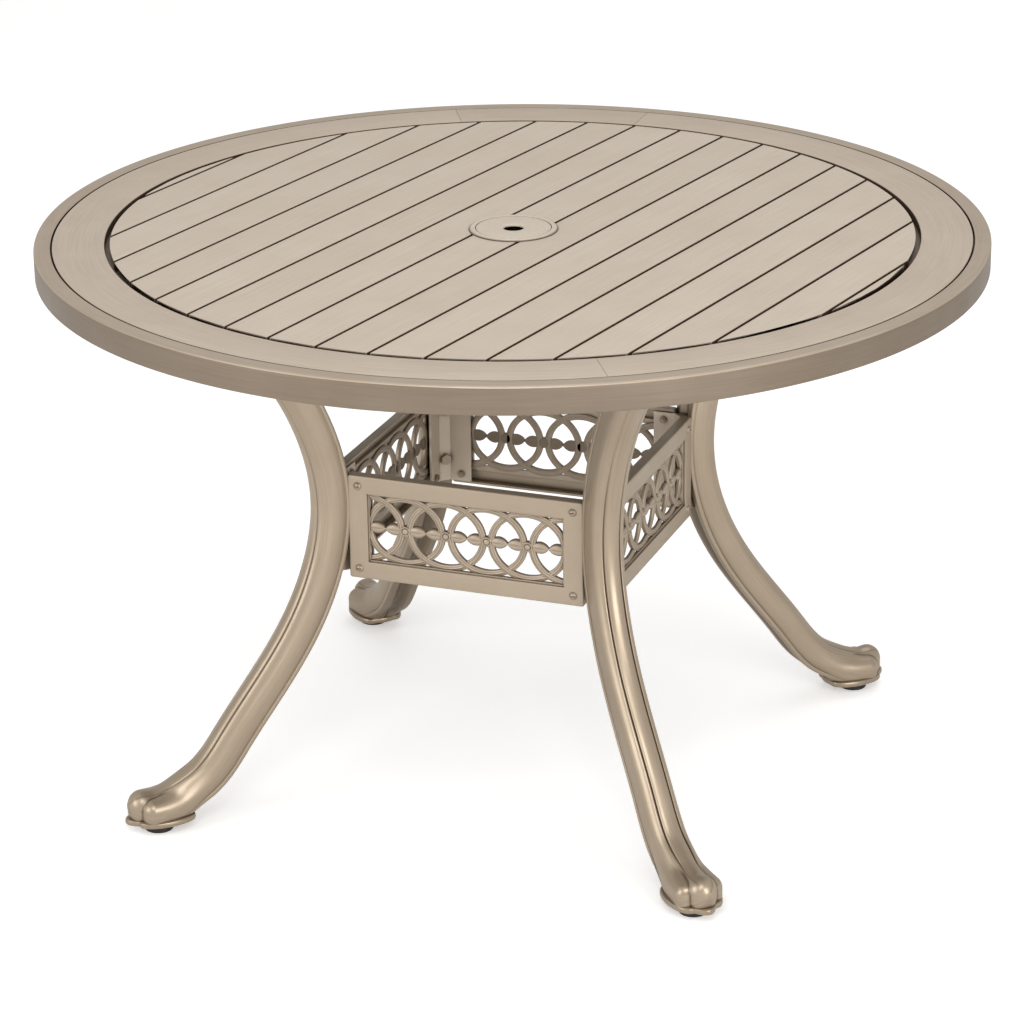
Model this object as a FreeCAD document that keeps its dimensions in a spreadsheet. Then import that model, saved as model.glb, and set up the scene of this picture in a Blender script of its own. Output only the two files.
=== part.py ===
"""Round patio table with a slatted top, an umbrella hole, a latticed apron box
and four cast legs.  Millimetres, +Z up, origin on the floor under the centre."""
import FreeCAD, Part
import Sketcher
import math
import os
from FreeCAD import Vector, Placement, Rotation

doc = FreeCAD.newDocument("UmbrellaTable")
sizes = doc.addObject("Spreadsheet::Sheet", "Sizes")

# Driving dimensions in millimetres and degrees
DIMENSIONS = [
    # the round top
    ("top_diameter", 1219.2),
    ("table_height", 740),
    ("rim_height", 35),
    ("rim_wall", 3),
    ("rim_edge_radius", 3.5),
    ("rim_crown_width", 21),
    ("rim_lip_width", 15),
    ("rim_groove", 1.5),
    ("border_width", 66),
    ("border_seam", 0.4),
    ("seam_front_angle", -59),
    ("seam_right_angle", 91.5),
    ("seam_left_angle", 118.5),
    ("board_height", 12),
    ("board_skin", 2),
    ("board_ease", 1.2),
    # the boards that fill the ring
    ("slat_count", 17),
    ("side_strip", 13.1),
    ("slat_gap", 3.5),
    ("slat_end_gap", 7),
    ("slat_angle", 80),
    # what carries the top
    ("support_thickness", 4),
    ("support_lap", 40),
    ("batten_width", 30),
    ("batten_spacing", 340),
    ("rail_width", 40),
    ("rail_height", 18),
    ("rail_wall", 2),
    ("rail_inner_radius", 32),
    ("rail_end_gap", 4.6),
    # the umbrella hole
    ("pole_bore", 52),
    ("sleeve_wall", 2.5),
    ("sleeve_depth", 84),
    ("sleeve_flange", 120),
    ("ring_diameter", 115),
    ("ring_stand", 2.5),
    ("ring_barrel", 103),
    ("ring_wall", 2.4),
    ("ring_ledge_width", 4),
    ("ring_ledge_depth", 2),
    ("ring_ledge_drop", 1),
    ("cap_clearance", 0.4),
    ("cap_thickness", 3.3),
    ("cap_ease", 1),
    ("cap_skirt_depth", 9),
    ("cap_skirt_wall", 2),
    ("finger_hole", 26),
    # the apron box
    ("apron_width", 380),
    ("corner_opening", 30),
    ("panel_height", 141),
    ("panel_bottom", 311),
    ("panel_depth", 14),
    ("panel_face", 3),
    ("panel_flange", 3),
    ("panel_corner", 3),
    ("stile_width", 26.5),
    ("rail_face_width", 23.8),
    ("screw_inset", 14),
    ("screw_boss", 16),
    # the lattice
    ("grille_lap", 5),
    ("grille_border", 7),
    ("grille_depth", 5),
    ("flower_pitch", 55.6),
    ("loop_half_width", 50),
    ("loop_half_height", 43.5),
    ("loop_band", 9),
    ("petal_half_height", 8),
    ("petal_tip", 1.2),
    ("boss_diameter", 14),
    ("relief_step", 0.8),
    # fixings
    ("screw_diameter", 5),
    ("screw_head", 11),
    ("screw_head_height", 3.4),
    ("slot_length", 6),
    ("slot_width", 1.2),
    ("slot_depth", 1.7),
    ("nut_height", 4),
    ("rail_nut_height", 6.4),
    ("bolt_end", 1),
    ("nut_flats", 8),
    ("bolt_diameter", 8),
    ("bolt_head_flats", 13),
    ("bolt_head_height", 5.3),
    ("bolt_spread", 70),
    ("hole_clearance", 0.25),
    ("bracket_plate", 3),
    ("bracket_height", 133),
    ("bracket_wing", 28),
    ("bracket_reach", 3),
    # the cast legs
    ("leg_width", 45),
    ("leg_depth", 46),
    ("leg_top_inset", 14),
    ("shoulder_out", 40),
    ("shoulder_drop", 138),
    ("waist_height", 410),
    ("knee_out", 49),
    ("knee_height", 245),
    ("ankle_inset", 104),
    ("ankle_height", 112),
    ("heel_inset", 63),
    ("heel_height", 64),
    ("instep_height", 37),
    ("pad_middle_radius", 418),
    ("pad_length", 146),
    ("pad_width", 60),
    ("pad_thickness", 8),
    ("pad_bolt_spacing", 122),
    ("pad_corner", 12),
    ("rib_width", 15),
    ("foot_radius", 515),
    ("sole_length", 86),
    ("sole_width", 64),
    ("toe_rise", 48),
    ("sole_thickness", 8),
    ("foot_boss", 42),
    ("foot_boss_height", 3),
    # the levelling glides
    ("glide_diameter", 37.5),
    ("glide_height", 10.5),
    ("glide_play", 0.3),
    ("glide_foot_ease", 1),
    ("glide_draft", 0.8),
    ("glide_top_ease", 1.5),
    ("stem_diameter", 8),
    ("stem_length", 27),
    ("stem_fit", 0.05),
    ("button_diameter", 16),
    ("button_height", 3),
    ("button_rise", 3),
    ("insert_diameter", 12),
    ("insert_length", 20),
]
for row, (alias, number) in enumerate(DIMENSIONS, start=1):
    sizes.set("A%d" % row, alias)
    sizes.set("B%d" % row, str(number))
    sizes.setAlias("B%d" % row, alias)
doc.recompute()


def size(expression):
    """Value of an expression that names cells of the sheet."""
    result = sizes.evalExpression(expression)
    return float(getattr(result, "Value", result))


# Heights that several pieces share, all worked from the table height
TOP = "Sizes.table_height"
BOARD_BOTTOM = "(Sizes.table_height - Sizes.board_height)"
SUPPORT_BOTTOM = "(Sizes.table_height - Sizes.board_height - Sizes.support_thickness)"
RAIL_BOTTOM = "(%s - Sizes.rail_height)" % SUPPORT_BOTTOM
RIM_BOTTOM = "(Sizes.table_height - Sizes.rim_height)"
SLEEVE_BOTTOM = "(%s - Sizes.sleeve_depth)" % SUPPORT_BOTTOM
PAD_BOTTOM = "(%s - Sizes.pad_thickness)" % RAIL_BOTTOM
SHOULDER_HEIGHT = "(%s - Sizes.shoulder_drop)" % PAD_BOTTOM
PANEL_MIDDLE = "(Sizes.panel_bottom + Sizes.panel_height / 2)"
FOOT_BOTTOM = "(Sizes.glide_height + Sizes.glide_play)"
SOLE_BOTTOM = "(%s + Sizes.foot_boss_height)" % FOOT_BOTTOM

# Radii that several pieces share
RIM_RADIUS = "(Sizes.top_diameter / 2)"
CROWN_RADIUS = "(Sizes.top_diameter / 2 - Sizes.rim_crown_width)"
BORDER_OUTER = "(%s - Sizes.rim_groove)" % CROWN_RADIUS
BORDER_INNER = "(%s - Sizes.border_width)" % BORDER_OUTER
FIELD_RADIUS = "(%s - Sizes.slat_end_gap)" % BORDER_INNER
NEAR_EDGE = "-1 * %s" % FIELD_RADIUS
RAIL_END = "(%s - Sizes.rim_lip_width - Sizes.rail_end_gap)" % RIM_RADIUS
SUPPORT_INNER = "(%s - Sizes.support_lap)" % FIELD_RADIUS
BARREL_RADIUS = "(Sizes.ring_barrel / 2)"
BORE_RADIUS = "(Sizes.pole_bore / 2)"
BARREL_INNER = "(%s - Sizes.ring_wall)" % BARREL_RADIUS
PANEL_PLANE = "(Sizes.apron_width / 2)"
PANEL_WIDTH = "(Sizes.apron_width - 2 * Sizes.corner_opening)"
PANEL_HALF = "(Sizes.apron_width / 2 - Sizes.corner_opening)"
PANEL_BACK = "(Sizes.apron_width / 2 - Sizes.panel_depth)"
DIAGONAL = "sqrt(2)"
BRACKET_FACE = "((%s + Sizes.bracket_reach + %s) / %s)" % (PANEL_HALF, PANEL_BACK, DIAGONAL)

# Radii of the leg's centre line, from what each stretch of it is fixed to.  The waist stands at
# the corner of the apron box, a little short of the root of two times its half width
WAIST_SHARE = "1.4"
LEG_TOP = "(Sizes.pad_middle_radius - Sizes.leg_top_inset)"
WAIST = "(%s * %s)" % (PANEL_PLANE, WAIST_SHARE)
SHOULDER_RADIUS = "(%s + Sizes.shoulder_out)" % WAIST
KNEE = "(%s + Sizes.knee_out)" % WAIST
ANKLE = "(Sizes.foot_radius - Sizes.ankle_inset)"
HEEL = "(Sizes.foot_radius - Sizes.heel_inset)"

CORNERS = [("front_right", -45), ("back_right", 45), ("back_left", 135), ("front_left", 225)]
SIDES = [("front", 0), ("right", 90), ("back", 180), ("left", 270)]
UP = Vector(0, 0, 1)

# Where a bud is widest along its length, and its root's share of that width
PETAL_WIDEST = 0.55
PETAL_ROOT = 0.35

# Half of the leg's section from the crown round to the channel behind, as shares of its half
# width and half depth
BEAD_EDGE = (0.46, 0.72)
COVE = (0.56, 0.66)
SIDE_BEAD = (0.66, 0.71)
SHOULDER_ROUND = (0.91, 0.66)
SHOULDER = (1.0, 0.36)
BACK_CORNER = (0.94, -0.68)
BACK_ROUND = (0.81, -0.89)
BACK_EDGE = (0.62, -1.0)
CHANNEL_EDGE = (0.46, -1.0)
CHANNEL_FLOOR = (0, -0.66)

# Share of the leg's run where it begins to widen into the foot, and by how much
FOOT_START = 0.86
FOOT_SWELL = 0.2

# Toe lobes as shares of the sole's length and width and of the toes' rise
MIDDLE_TOE_SIZE = (0.42, 0.28)
MIDDLE_TOE_FORWARD = 0.07
SIDE_TOE_SIZE = (0.4, 0.25)
SIDE_TOE_BACK = 0.04
SIDE_TOE_ASIDE = 0.25
SIDE_TOE_RISE = 0.84


def origin_plane(body, role):
    """One of a body's own origin planes."""
    return [item for item in body.Origin.OriginFeatures if item.Role == role][0]


def section(body, name, role, outline):
    """A closed sketch of straight edges whose corners are bound to the sheet."""
    sketch = body.newObject("Sketcher::SketchObject", name)
    sketch.AttachmentSupport = (origin_plane(body, role), [""])
    sketch.MapMode = "FlatFace"
    corners = [Vector(size(across), size(up), 0) for across, up in outline]
    count = len(corners)
    for index in range(count):
        sketch.addGeometry(Part.LineSegment(corners[index], corners[(index + 1) % count]), False)
    for index in range(count):
        sketch.addConstraint(Sketcher.Constraint("Coincident", index, 2, (index + 1) % count, 1))
    for index, (across, up) in enumerate(outline):
        for kind, tag, text, axis in (("DistanceX", "across", across, -2), ("DistanceY", "up", up, -1)):
            if abs(size(text)) < 1e-9:
                sketch.addConstraint(Sketcher.Constraint("PointOnObject", index, 1, axis))
                continue
            number = sketch.addConstraint(Sketcher.Constraint(kind, -1, 1, index, 1, size(text)))
            sketch.renameConstraint(number, "%s%d" % (tag, index))
            sketch.setExpression("Constraints.%s%d" % (tag, index), text)
    return sketch


def turned(label, outline, angle="360"):
    """A body turned about the Z axis from a half section given as radius and height."""
    body = doc.addObject("PartDesign::Body", label)
    sketch = section(body, label + "_section", "XZ_Plane", outline)
    turn = body.newObject("PartDesign::Revolution", label + "_turn")
    turn.Profile = sketch
    turn.ReferenceAxis = (sketch, ["V_Axis"])
    turn.setExpression("Angle", angle)
    sketch.Visibility = False
    body.Label = label
    doc.recompute()
    return body


def extruded(label, role, outline, length):
    """A body pushed out from one closed outline."""
    body = doc.addObject("PartDesign::Body", label)
    sketch = section(body, label + "_section", role, outline)
    push = body.newObject("PartDesign::Pad", label + "_pad")
    push.Profile = sketch
    push.setExpression("Length", length)
    sketch.Visibility = False
    body.Label = label
    doc.recompute()
    return body


def rounded(body, radius, pick):
    """A fillet on those edges of the body that the test picks."""
    base = body.Tip
    names = ["Edge%d" % number for number, edge in enumerate(base.Shape.Edges, start=1) if pick(edge)]
    fillet = body.newObject("PartDesign::Fillet", body.Name + "_round")
    fillet.Base = (base, names)
    fillet.setExpression("Radius", radius)
    doc.recompute()
    return body


def on_circle(radius, height):
    """Test for a circular edge about the Z axis."""
    def pick(edge):
        curve = edge.Curve
        return (isinstance(curve, Part.Circle) and abs(curve.Radius - radius) < 1e-3
                and abs(curve.Center.z - height) < 1e-3 and abs(curve.Center.x) < 1e-3)
    return pick


def box(name, length, width, height, at):
    """A block with its lowest corner at a place given by three expressions."""
    block = doc.addObject("Part::Box", name)
    block.setExpression("Length", length)
    block.setExpression("Width", width)
    block.setExpression("Height", height)
    for axis, text in zip("xyz", at):
        block.setExpression("Placement.Base." + axis, text)
    return block


def round_bar(name, radius, height, at, along=UP):
    """A cylinder from a place given by three expressions along a fixed direction."""
    bar = doc.addObject("Part::Cylinder", name)
    bar.setExpression("Radius", radius)
    bar.setExpression("Height", height)
    bar.Placement = Placement(Vector(), Rotation(UP, along))
    for axis, text in zip("xyz", at):
        bar.setExpression("Placement.Base." + axis, text)
    return bar


def cut(name, base, tools):
    """The base less every tool."""
    if len(tools) > 1:
        tool = doc.addObject("Part::MultiFuse", name + "_tools")
        tool.Shapes = tools
    else:
        tool = tools[0]
    result = doc.addObject("Part::Cut", name)
    result.Base = base
    result.Tool = tool
    return result


def fused(name, pieces):
    """One solid of several."""
    result = doc.addObject("Part::MultiFuse", name)
    result.Shapes = pieces
    return result


def common(name, pieces):
    """What two solids share."""
    result = doc.addObject("Part::MultiCommon", name)
    result.Shapes = pieces
    return result


def shaped(label, shape, turn=0):
    """A part whose shape is worked out in code, turned about the Z axis."""
    part = doc.addObject("Part::Feature", label)
    part.Shape = shape
    part.Label = label
    part.Placement = Placement(Vector(), Rotation(UP, turn))
    return part


# Rim hoop: an upright band with a crown turned in at the top and a lip at the foot
def make_rim_hoop():
    crown_bottom = "(%s - Sizes.rim_wall)" % TOP
    wall_inner = "(%s - Sizes.rim_wall)" % RIM_RADIUS
    lip_top = "(%s + Sizes.rim_wall)" % RIM_BOTTOM
    lip_inner = "(%s - Sizes.rim_lip_width)" % RIM_RADIUS
    hoop = turned("rim_hoop", [
        (CROWN_RADIUS, crown_bottom),
        (CROWN_RADIUS, TOP),
        (RIM_RADIUS, TOP),
        (RIM_RADIUS, RIM_BOTTOM),
        (lip_inner, RIM_BOTTOM),
        (lip_inner, lip_top),
        (wall_inner, lip_top),
        (wall_inner, crown_bottom),
    ])
    return rounded(hoop, "Sizes.rim_edge_radius", on_circle(size(RIM_RADIUS), size(TOP)))


def channel(inner, outer, base):
    """Section of a board open below, with its two top corners eased."""
    ease = "Sizes.board_ease"
    skin = "Sizes.board_skin"
    return [
        (inner, base),
        (inner, "%s - %s" % (TOP, ease)),
        ("%s + %s" % (inner, ease), TOP),
        ("%s - %s" % (outer, ease), TOP),
        (outer, "%s - %s" % (TOP, ease)),
        (outer, base),
        ("%s - %s" % (outer, skin), base),
        ("%s - %s" % (outer, skin), "%s - %s" % (TOP, skin)),
        ("%s + %s" % (inner, skin), "%s - %s" % (TOP, skin)),
        ("%s + %s" % (inner, skin), base),
    ]


# Border: flat boards that make the ring between the rim groove and the slats
def make_border_boards():
    seam_turn = "(Sizes.border_seam / %s * 180 / pi)" % BORDER_INNER
    seams = ["Sizes.seam_front_angle", "Sizes.seam_right_angle", "Sizes.seam_left_angle",
             "(Sizes.seam_front_angle + 360)"]
    boards = []
    for number in range(1, len(seams)):
        start, end = seams[number - 1], seams[number]
        board = turned("border_board_%d" % number, channel(BORDER_INNER, BORDER_OUTER, BOARD_BOTTOM),
                       "(%s - %s - %s)" % (end, start, seam_turn))
        board.Placement = Placement(Vector(), Rotation(UP, size(start)))
        board.setExpression("Placement.Rotation.Angle", "%s + %s / 2" % (start, seam_turn))
        boards.append(board)
    return boards


# Slats: channels side by side, trimmed to the round field; the umbrella hole parts the middle one
def make_slats():
    count = int(round(size("Sizes.slat_count")))
    pitch = "((%s - Sizes.side_strip) / (%d / 2 - 1))" % (FIELD_RADIUS, count)
    slats = []
    for number in range(1, count + 1):
        middle = "((%d - %d / 2) * %s)" % (number, count + 1, pitch)
        label = "slat_%02d" % number
        if 2 * number == count + 1:
            slats.append(make_slat(label + "_near", middle, pitch, NEAR_EDGE, FIELD_RADIUS))
            slats.append(make_slat(label + "_far", middle, pitch, "0", FIELD_RADIUS))
        else:
            slats.append(make_slat(label, middle, pitch, NEAR_EDGE, "2 * %s" % FIELD_RADIUS))
    doc.recompute()
    return slats


def make_slat(label, middle, pitch, start, length):
    """One slat about a line given by its offset, from a start along that line."""
    half = "((%s - Sizes.slat_gap) / 2)" % pitch
    body = extruded(label + "_board", "YZ_Plane",
                    channel("(%s - %s)" % (middle, half), "(%s + %s)" % (middle, half), BOARD_BOTTOM), length)
    body.setExpression("Placement.Base.x", start)
    low, tall = "(%s - Sizes.board_height / 2)" % BOARD_BOTTOM, "2 * Sizes.board_height"
    slat = common(label, [body, round_bar(label + "_field", FIELD_RADIUS, tall, ("0", "0", low))])
    if abs(size(middle)) - size(half) < size(BARREL_RADIUS):
        hole = round_bar(label + "_hole", "%s + Sizes.cap_clearance" % BARREL_RADIUS, tall, ("0", "0", low))
        slat.Label = label + "_whole"
        slat = cut(label + "_cut", slat, [hole])
    slat.Label = label
    slat.setExpression("Placement.Rotation.Angle", "Sizes.slat_angle")
    return slat


# Support ring: the flat hoop that the boards are seated on
def make_support_ring():
    edge = "(%s - Sizes.rim_wall - Sizes.glide_play)" % RIM_RADIUS
    return turned("support_ring", [
        (SUPPORT_INNER, SUPPORT_BOTTOM),
        (SUPPORT_INNER, BOARD_BOTTOM),
        (edge, BOARD_BOTTOM),
        (edge, SUPPORT_BOTTOM),
    ])


# Battens: two flat bars across the slats, in the plane of the support ring
def make_battens():
    pair = []
    for number, side in ((1, "-1"), (2, "1")):
        label = "batten_%d" % number
        bar = box(label + "_bar", "Sizes.batten_width", "2 * %s" % SUPPORT_INNER, "Sizes.support_thickness",
                  ("%s * Sizes.batten_spacing / 2 - Sizes.batten_width / 2" % side,
                   "-1 * %s" % SUPPORT_INNER, SUPPORT_BOTTOM))
        inside = round_bar(label + "_inside", "%s - Sizes.glide_play" % SUPPORT_INNER,
                           "3 * Sizes.support_thickness",
                           ("0", "0", "%s - Sizes.support_thickness" % SUPPORT_BOTTOM))
        pair.append(common(label, [bar, inside]))
    battens = doc.addObject("Part::Compound", "battens")
    battens.Links = pair
    battens.setExpression("Placement.Rotation.Angle", "Sizes.slat_angle")
    return [battens]


# Rails: four box tubes from the umbrella sleeve out to the rim, one over each leg
def make_rails():
    rails = []
    length = "(%s - Sizes.rail_inner_radius)" % RAIL_END
    for corner, angle in CORNERS:
        label = "rail_" + corner
        tube = box(label + "_tube", length, "Sizes.rail_width", "Sizes.rail_height",
                   ("Sizes.rail_inner_radius", "-0.5 * Sizes.rail_width", RAIL_BOTTOM))
        hollow = box(label + "_hollow", "2 * " + length, "Sizes.rail_width - 2 * Sizes.rail_wall",
                     "Sizes.rail_height - 2 * Sizes.rail_wall",
                     ("0", "-0.5 * Sizes.rail_width + Sizes.rail_wall", RAIL_BOTTOM + " + Sizes.rail_wall"))
        holes = [round_bar("%s_hole_%d" % (label, number),
                           "Sizes.bolt_diameter / 2 + Sizes.hole_clearance", "3 * Sizes.rail_wall",
                           ("Sizes.pad_middle_radius + %s * Sizes.pad_bolt_spacing / 2" % side, "0",
                            RAIL_BOTTOM + " - Sizes.rail_wall"))
                 for number, side in ((1, "-1"), (2, "1"))]
        rail = cut(label, tube, [hollow] + holes)
        rail.Label = label
        rail.Placement = Placement(Vector(), Rotation(UP, angle))
        rails.append(rail)
    return rails


# Umbrella sleeve: the tube under the top that the pole stands in, with a flange on the rails
def make_umbrella_sleeve():
    wall = "(%s + Sizes.sleeve_wall)" % BORE_RADIUS
    edge = "(Sizes.sleeve_flange / 2)"
    return turned("umbrella_sleeve", [
        (BORE_RADIUS, SLEEVE_BOTTOM),
        (BORE_RADIUS, BOARD_BOTTOM),
        (edge, BOARD_BOTTOM),
        (edge, SUPPORT_BOTTOM),
        (wall, SUPPORT_BOTTOM),
        (wall, SLEEVE_BOTTOM),
    ])


# Umbrella ring: the fixed trim that stands on the boards, with an inner ledge for the cap
def make_umbrella_ring():
    lip = "(Sizes.ring_diameter / 2)"
    stand = "(%s + Sizes.ring_stand)" % TOP
    ledge_top = "(%s - Sizes.ring_ledge_drop)" % TOP
    ledge_bottom = "(%s - Sizes.ring_ledge_depth)" % ledge_top
    ledge_edge = "(%s - Sizes.ring_ledge_width)" % BARREL_INNER
    return turned("umbrella_ring", [
        (BARREL_RADIUS, BOARD_BOTTOM),
        (BARREL_RADIUS, TOP),
        (lip, TOP),
        ("%s - Sizes.ring_stand" % lip, stand),
        (BARREL_INNER, stand),
        (BARREL_INNER, ledge_top),
        (ledge_edge, ledge_top),
        (ledge_edge, ledge_bottom),
        (BARREL_INNER, ledge_bottom),
        (BARREL_INNER, BOARD_BOTTOM),
    ])


# Umbrella cap: a lift-out disc with a finger hole and a skirt that drops inside the ring's ledge
def make_umbrella_cap():
    seat = "(%s - Sizes.ring_ledge_drop)" % TOP
    crown = "(%s + Sizes.cap_thickness)" % seat
    edge = "(%s - Sizes.cap_clearance)" % BARREL_INNER
    hole = "(Sizes.finger_hole / 2)"
    skirt = "(%s - Sizes.ring_ledge_width - Sizes.cap_clearance)" % BARREL_INNER
    skirt_inner = "(%s - Sizes.cap_skirt_wall)" % skirt
    skirt_bottom = "(%s - Sizes.cap_skirt_depth)" % seat
    return turned("umbrella_cap", [
        (hole, seat),
        (hole, "%s - Sizes.cap_ease" % crown),
        ("%s + Sizes.cap_ease" % hole, crown),
        ("%s - 2 * Sizes.cap_ease" % edge, crown),
        (edge, "%s - Sizes.cap_ease" % crown),
        (edge, seat),
        (skirt, seat),
        (skirt, skirt_bottom),
        (skirt_inner, skirt_bottom),
        (skirt_inner, seat),
    ])


# Apron panels: shallow cast trays with a window, screw bosses behind the four corners
def make_panels():
    panels = []
    half = PANEL_HALF
    face_back = "(-1 * %s + Sizes.panel_face)" % PANEL_PLANE
    for side, angle in SIDES:
        label = "panel_" + side
        block = box(label + "_block", PANEL_WIDTH, "Sizes.panel_depth", "Sizes.panel_height",
                    ("-1 * %s" % half, "-1 * %s" % PANEL_PLANE, "Sizes.panel_bottom"))
        hollow = box(label + "_hollow", PANEL_WIDTH + " - 2 * Sizes.panel_flange", "Sizes.panel_depth",
                     "Sizes.panel_height - 2 * Sizes.panel_flange",
                     ("-1 * %s + Sizes.panel_flange" % half, face_back,
                      "Sizes.panel_bottom + Sizes.panel_flange"))
        window = box(label + "_window", PANEL_WIDTH + " - 2 * Sizes.stile_width", "3 * Sizes.panel_face",
                     "Sizes.panel_height - 2 * Sizes.rail_face_width",
                     ("-1 * %s + Sizes.stile_width" % half, "-1 * %s - Sizes.panel_face" % PANEL_PLANE,
                      "Sizes.panel_bottom + Sizes.rail_face_width"))
        tray = cut(label + "_tray", block, [hollow, window])
        bosses, holes = [], []
        for number, (across, up) in enumerate(((-1, -1), (1, -1), (-1, 1), (1, 1)), start=1):
            at = ("%d * (%s - Sizes.screw_inset)" % (across, half), "-1 * %s" % PANEL_PLANE,
                  "%s + %d * (Sizes.panel_height / 2 - Sizes.screw_inset)" % (PANEL_MIDDLE, up))
            bosses.append(round_bar("%s_boss_%d" % (label, number), "Sizes.screw_boss / 2", "Sizes.panel_depth",
                                    at, Vector(0, 1, 0)))
            holes.append(round_bar("%s_hole_%d" % (label, number),
                                   "Sizes.screw_diameter / 2 + Sizes.hole_clearance", "Sizes.panel_depth",
                                   at, Vector(0, 1, 0)))
        panel = cut(label + "_bored", fused(label + "_solid", [tray] + bosses), holes)
        doc.recompute()
        edges = []
        for number, edge in enumerate(panel.Shape.Edges, start=1):
            middle = edge.CenterOfMass
            upright = abs(edge.Length - size("Sizes.panel_depth")) < 1e-6
            outer = (abs(abs(middle.x) - size(half)) < 1e-6
                     and abs(abs(middle.z - size(PANEL_MIDDLE)) - size("Sizes.panel_height / 2")) < 1e-6)
            if upright and outer:
                edges.append((number, size("Sizes.panel_corner"), size("Sizes.panel_corner")))
        rounded_panel = doc.addObject("Part::Fillet", label)
        rounded_panel.Base = panel
        rounded_panel.Edges = edges
        rounded_panel.Label = label
        rounded_panel.Placement = Placement(Vector(), Rotation(UP, angle))
        panels.append(rounded_panel)
    return panels


def ellipse_solid(half_width, half_height, middle, front, depth):
    """A slab with an oval outline, set back along +Y from an X-Z plane."""
    wire = Part.Wire(Part.Ellipse(Vector(0, 0, 0), half_width, half_height).toShape())
    slab = Part.Face(wire).extrude(Vector(0, 0, -depth))
    slab.Placement = Placement(Vector(middle.x, front, middle.z), Rotation(Vector(1, 0, 0), 90))
    return slab


def petal_face(root, tip, half_height, tip_height, middle, plane):
    """A bud outline that swells from its root and closes to a narrow tip."""
    swell = root + PETAL_WIDEST * (tip - root)
    root_height = PETAL_ROOT * half_height

    def at(across, up):
        return Vector(middle.x + across, plane, middle.z + up)
    upper = Part.Arc(at(root, root_height), at(swell, half_height), at(tip, tip_height)).toShape()
    end = Part.LineSegment(at(tip, tip_height), at(tip, -tip_height)).toShape()
    lower = Part.Arc(at(tip, -tip_height), at(swell, -half_height), at(root, -root_height)).toShape()
    close = Part.LineSegment(at(root, -root_height), at(root, root_height)).toShape()
    return Part.Face(Part.Wire([upper, end, lower, close]))


def lattice_shape():
    """The cast lattice: crossing oval loops, a bud each side of every flower, and a border."""
    window_width = size(PANEL_WIDTH + " - 2 * Sizes.stile_width")
    window_height = size("Sizes.panel_height - 2 * Sizes.rail_face_width")
    lap, border, depth = size("Sizes.grille_lap"), size("Sizes.grille_border"), size("Sizes.grille_depth")
    front = -size(PANEL_PLANE) + size("Sizes.panel_face")
    step = size("Sizes.relief_step")
    width, height = window_width + 2 * lap, window_height + 2 * lap
    middle_height = size(PANEL_MIDDLE)
    field = Part.makeBox(width, depth, height, Vector(-width / 2, front, middle_height - height / 2))
    opening = Part.makeBox(width - 2 * border, 3 * depth, height - 2 * border,
                           Vector(-width / 2 + border, front - depth, middle_height - height / 2 + border))
    pieces = [field.cut(opening)]
    pitch, band = size("Sizes.flower_pitch"), size("Sizes.loop_band")
    half_width, half_height = size("Sizes.loop_half_width"), size("Sizes.loop_half_height")
    back = Vector(0, 1, 0)
    reach = int(math.ceil((width / 2 + half_width) / pitch))
    flowers = [pitch * (index + 0.5) for index in range(-reach, reach)]
    for place in flowers:
        if abs(place) - half_width > width / 2:
            continue
        middle = Vector(place, 0, middle_height)
        outer = ellipse_solid(half_width + band / 2, half_height + band / 2, middle, front + step, depth - step)
        inner = ellipse_solid(half_width - band / 2, half_height - band / 2, middle, front - depth, 3 * depth)
        pieces.append(outer.cut(inner))
        for way in (-1, 1):
            petal = petal_face(way * 2, way * pitch / 2, size("Sizes.petal_half_height"),
                               size("Sizes.petal_tip"), middle, front + 2 * step)
            pieces.append(petal.extrude(back * (depth - 2 * step)))
        pieces.append(Part.makeCylinder(size("Sizes.boss_diameter") / 2, depth,
                                        Vector(place, front, middle_height), back))
    lattice = pieces[0].multiFuse(pieces[1:]).common(field)
    return lattice.removeSplitter()


# Grilles: one lattice behind each window
def make_grilles():
    lattice = lattice_shape()
    return [shaped("grille_" + side, lattice.copy(), angle) for side, angle in SIDES]


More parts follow.
